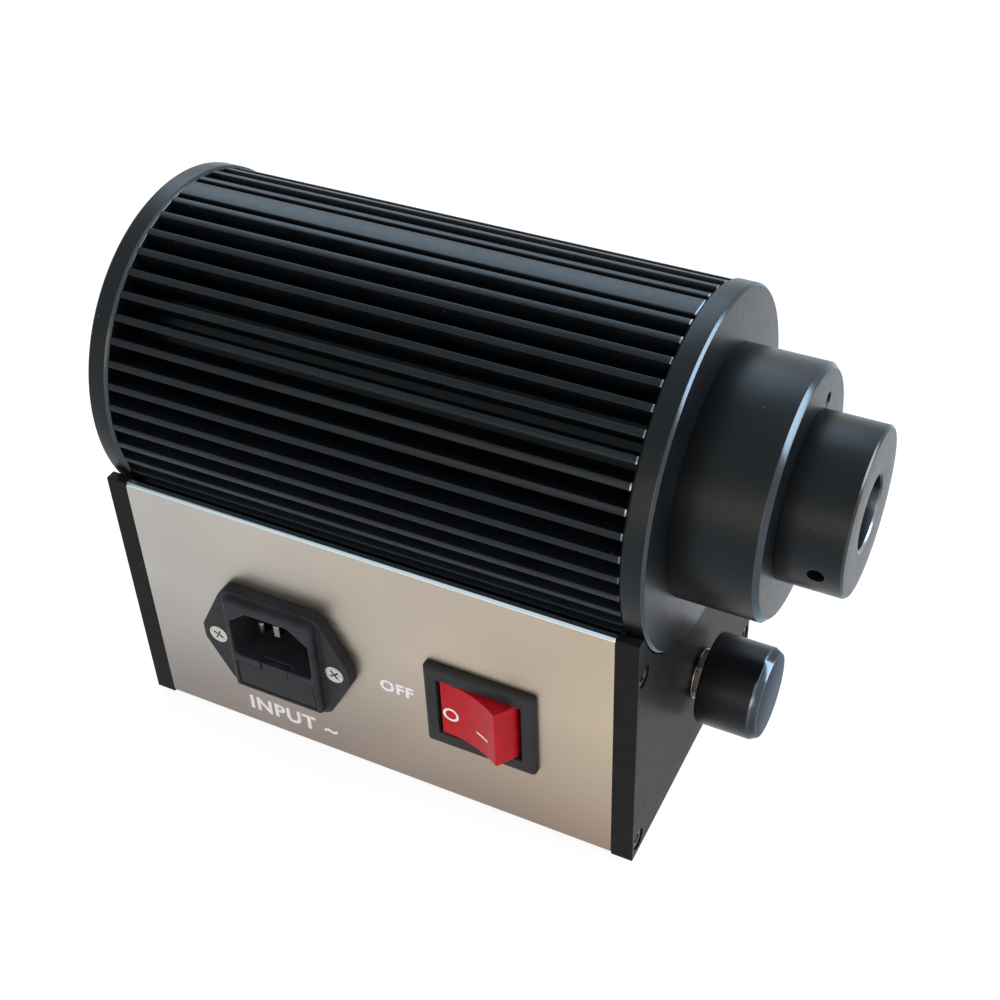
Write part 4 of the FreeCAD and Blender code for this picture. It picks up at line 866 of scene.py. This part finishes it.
ring = [(-6.35 + r * math.cos(math.tau * k / 40), -1.6 + r * math.sin(math.tau * k / 40))
        for k in range(40) for r in (1.55, 2.25)]
stamped("stamped_off_ring", ring, True)
bar_start, bar_end, bar_half = Vector((1.7, -2.8)), Vector((5.8, -3.1)), 0.3
bar_side = (bar_end - bar_start).orthogonal().normalized() * bar_half
stamped("stamped_on_bar", [tuple(bar_start.lerp(bar_end, k / 6) + side * bar_side)
                           for k in range(7) for side in (-1, 1)], False)

# ---- what is inside ------------------------------------------------------------------------------
# The lamp, its carrier, the driver board and the wires keep their solids. Each gets the finish of the real
# thing, a little paler in patches.
plain = {
    "bare_turned_aluminium": ("#c3c4c6", 1.0, 0.35, ["led_carrier"]),
    "white_lamp_board": ("#e4e4e0", 0.0, 0.45, ["led_board"]),
    "phosphor_silicone": ("#e6cf62", 0.0, 0.25, ["led_emitter"]),
    "zinc_plated_fasteners": ("#b9bcc0", 1.0, 0.3, ["led_screws", "inlet_nuts", "board_screws"]),
    "clear_glass_fuse": ("#dfe4e2", 0.0, 0.1, ["fuse"]),
    "tinned_tabs": ("#c6c7c4", 1.0, 0.3, ["switch_terminals", "dimmer_terminals"]),
    "dimmer_can_steel": ("#b4b7ba", 1.0, 0.3, ["dimmer_body"]),
    "board_solder_mask": ("#1f6b3a", 0.0, 0.35, ["driver_board"]),
    "brass_standoffs": ("#c9a45a", 1.0, 0.3, ["board_standoffs"]),
    "matt_ferrite": ("#3a3a3c", 0.0, 0.6, ["transformer_core"]),
    "polyester_tape": ("#e0b93a", 0.0, 0.3, ["transformer_winding"]),
    "shrink_sleeve": ("#232427", 0.0, 0.3, ["bulk_capacitor", "output_capacitors"]),
    "enamelled_copper": ("#b06a3c", 1.0, 0.35, ["filter_choke"]),
    "moulded_film_box": ("#d9b93f", 0.0, 0.35, ["filter_capacitor"]),
    "moulded_epoxy": ("#1d1d1e", 0.0, 0.5, ["bridge_rectifier", "switching_transistor"]),
    "cooler_aluminium": ("#b9bbbd", 1.0, 0.4, ["transistor_cooler"]),
    "moulded_terminal_green": ("#2f8a4a", 0.0, 0.4, ["mains_terminal", "output_terminal"]),
    "red_wire": ("#b3261e", 0.0, 0.4, ["led_leads"]),
    "brown_wire": ("#6a4226", 0.0, 0.4, ["mains_leads"]),
    "earth_wire": ("#8fae2c", 0.0, 0.4, ["earth_lead"]),
    "grey_wire": ("#77787a", 0.0, 0.4, ["dimmer_leads"]),
}
for name, (colour, metallic, roughness, nodes) in plain.items():
    paler = "#" + "".join(f"{min(255, int(int(colour[i:i + 2], 16) * 1.12) + 6):02x}" for i in (1, 3, 5))
    made, tree, shader = grained(name, colour, metallic, roughness, (colour, paler), 350.0, 2500.0, 0.01)
    rough(tree, shader, grain(tree, 600.0), roughness * 0.8, roughness * 1.25)
    for node in nodes:
        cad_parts[node].data.materials.clear()
        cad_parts[node].data.materials.append(made)
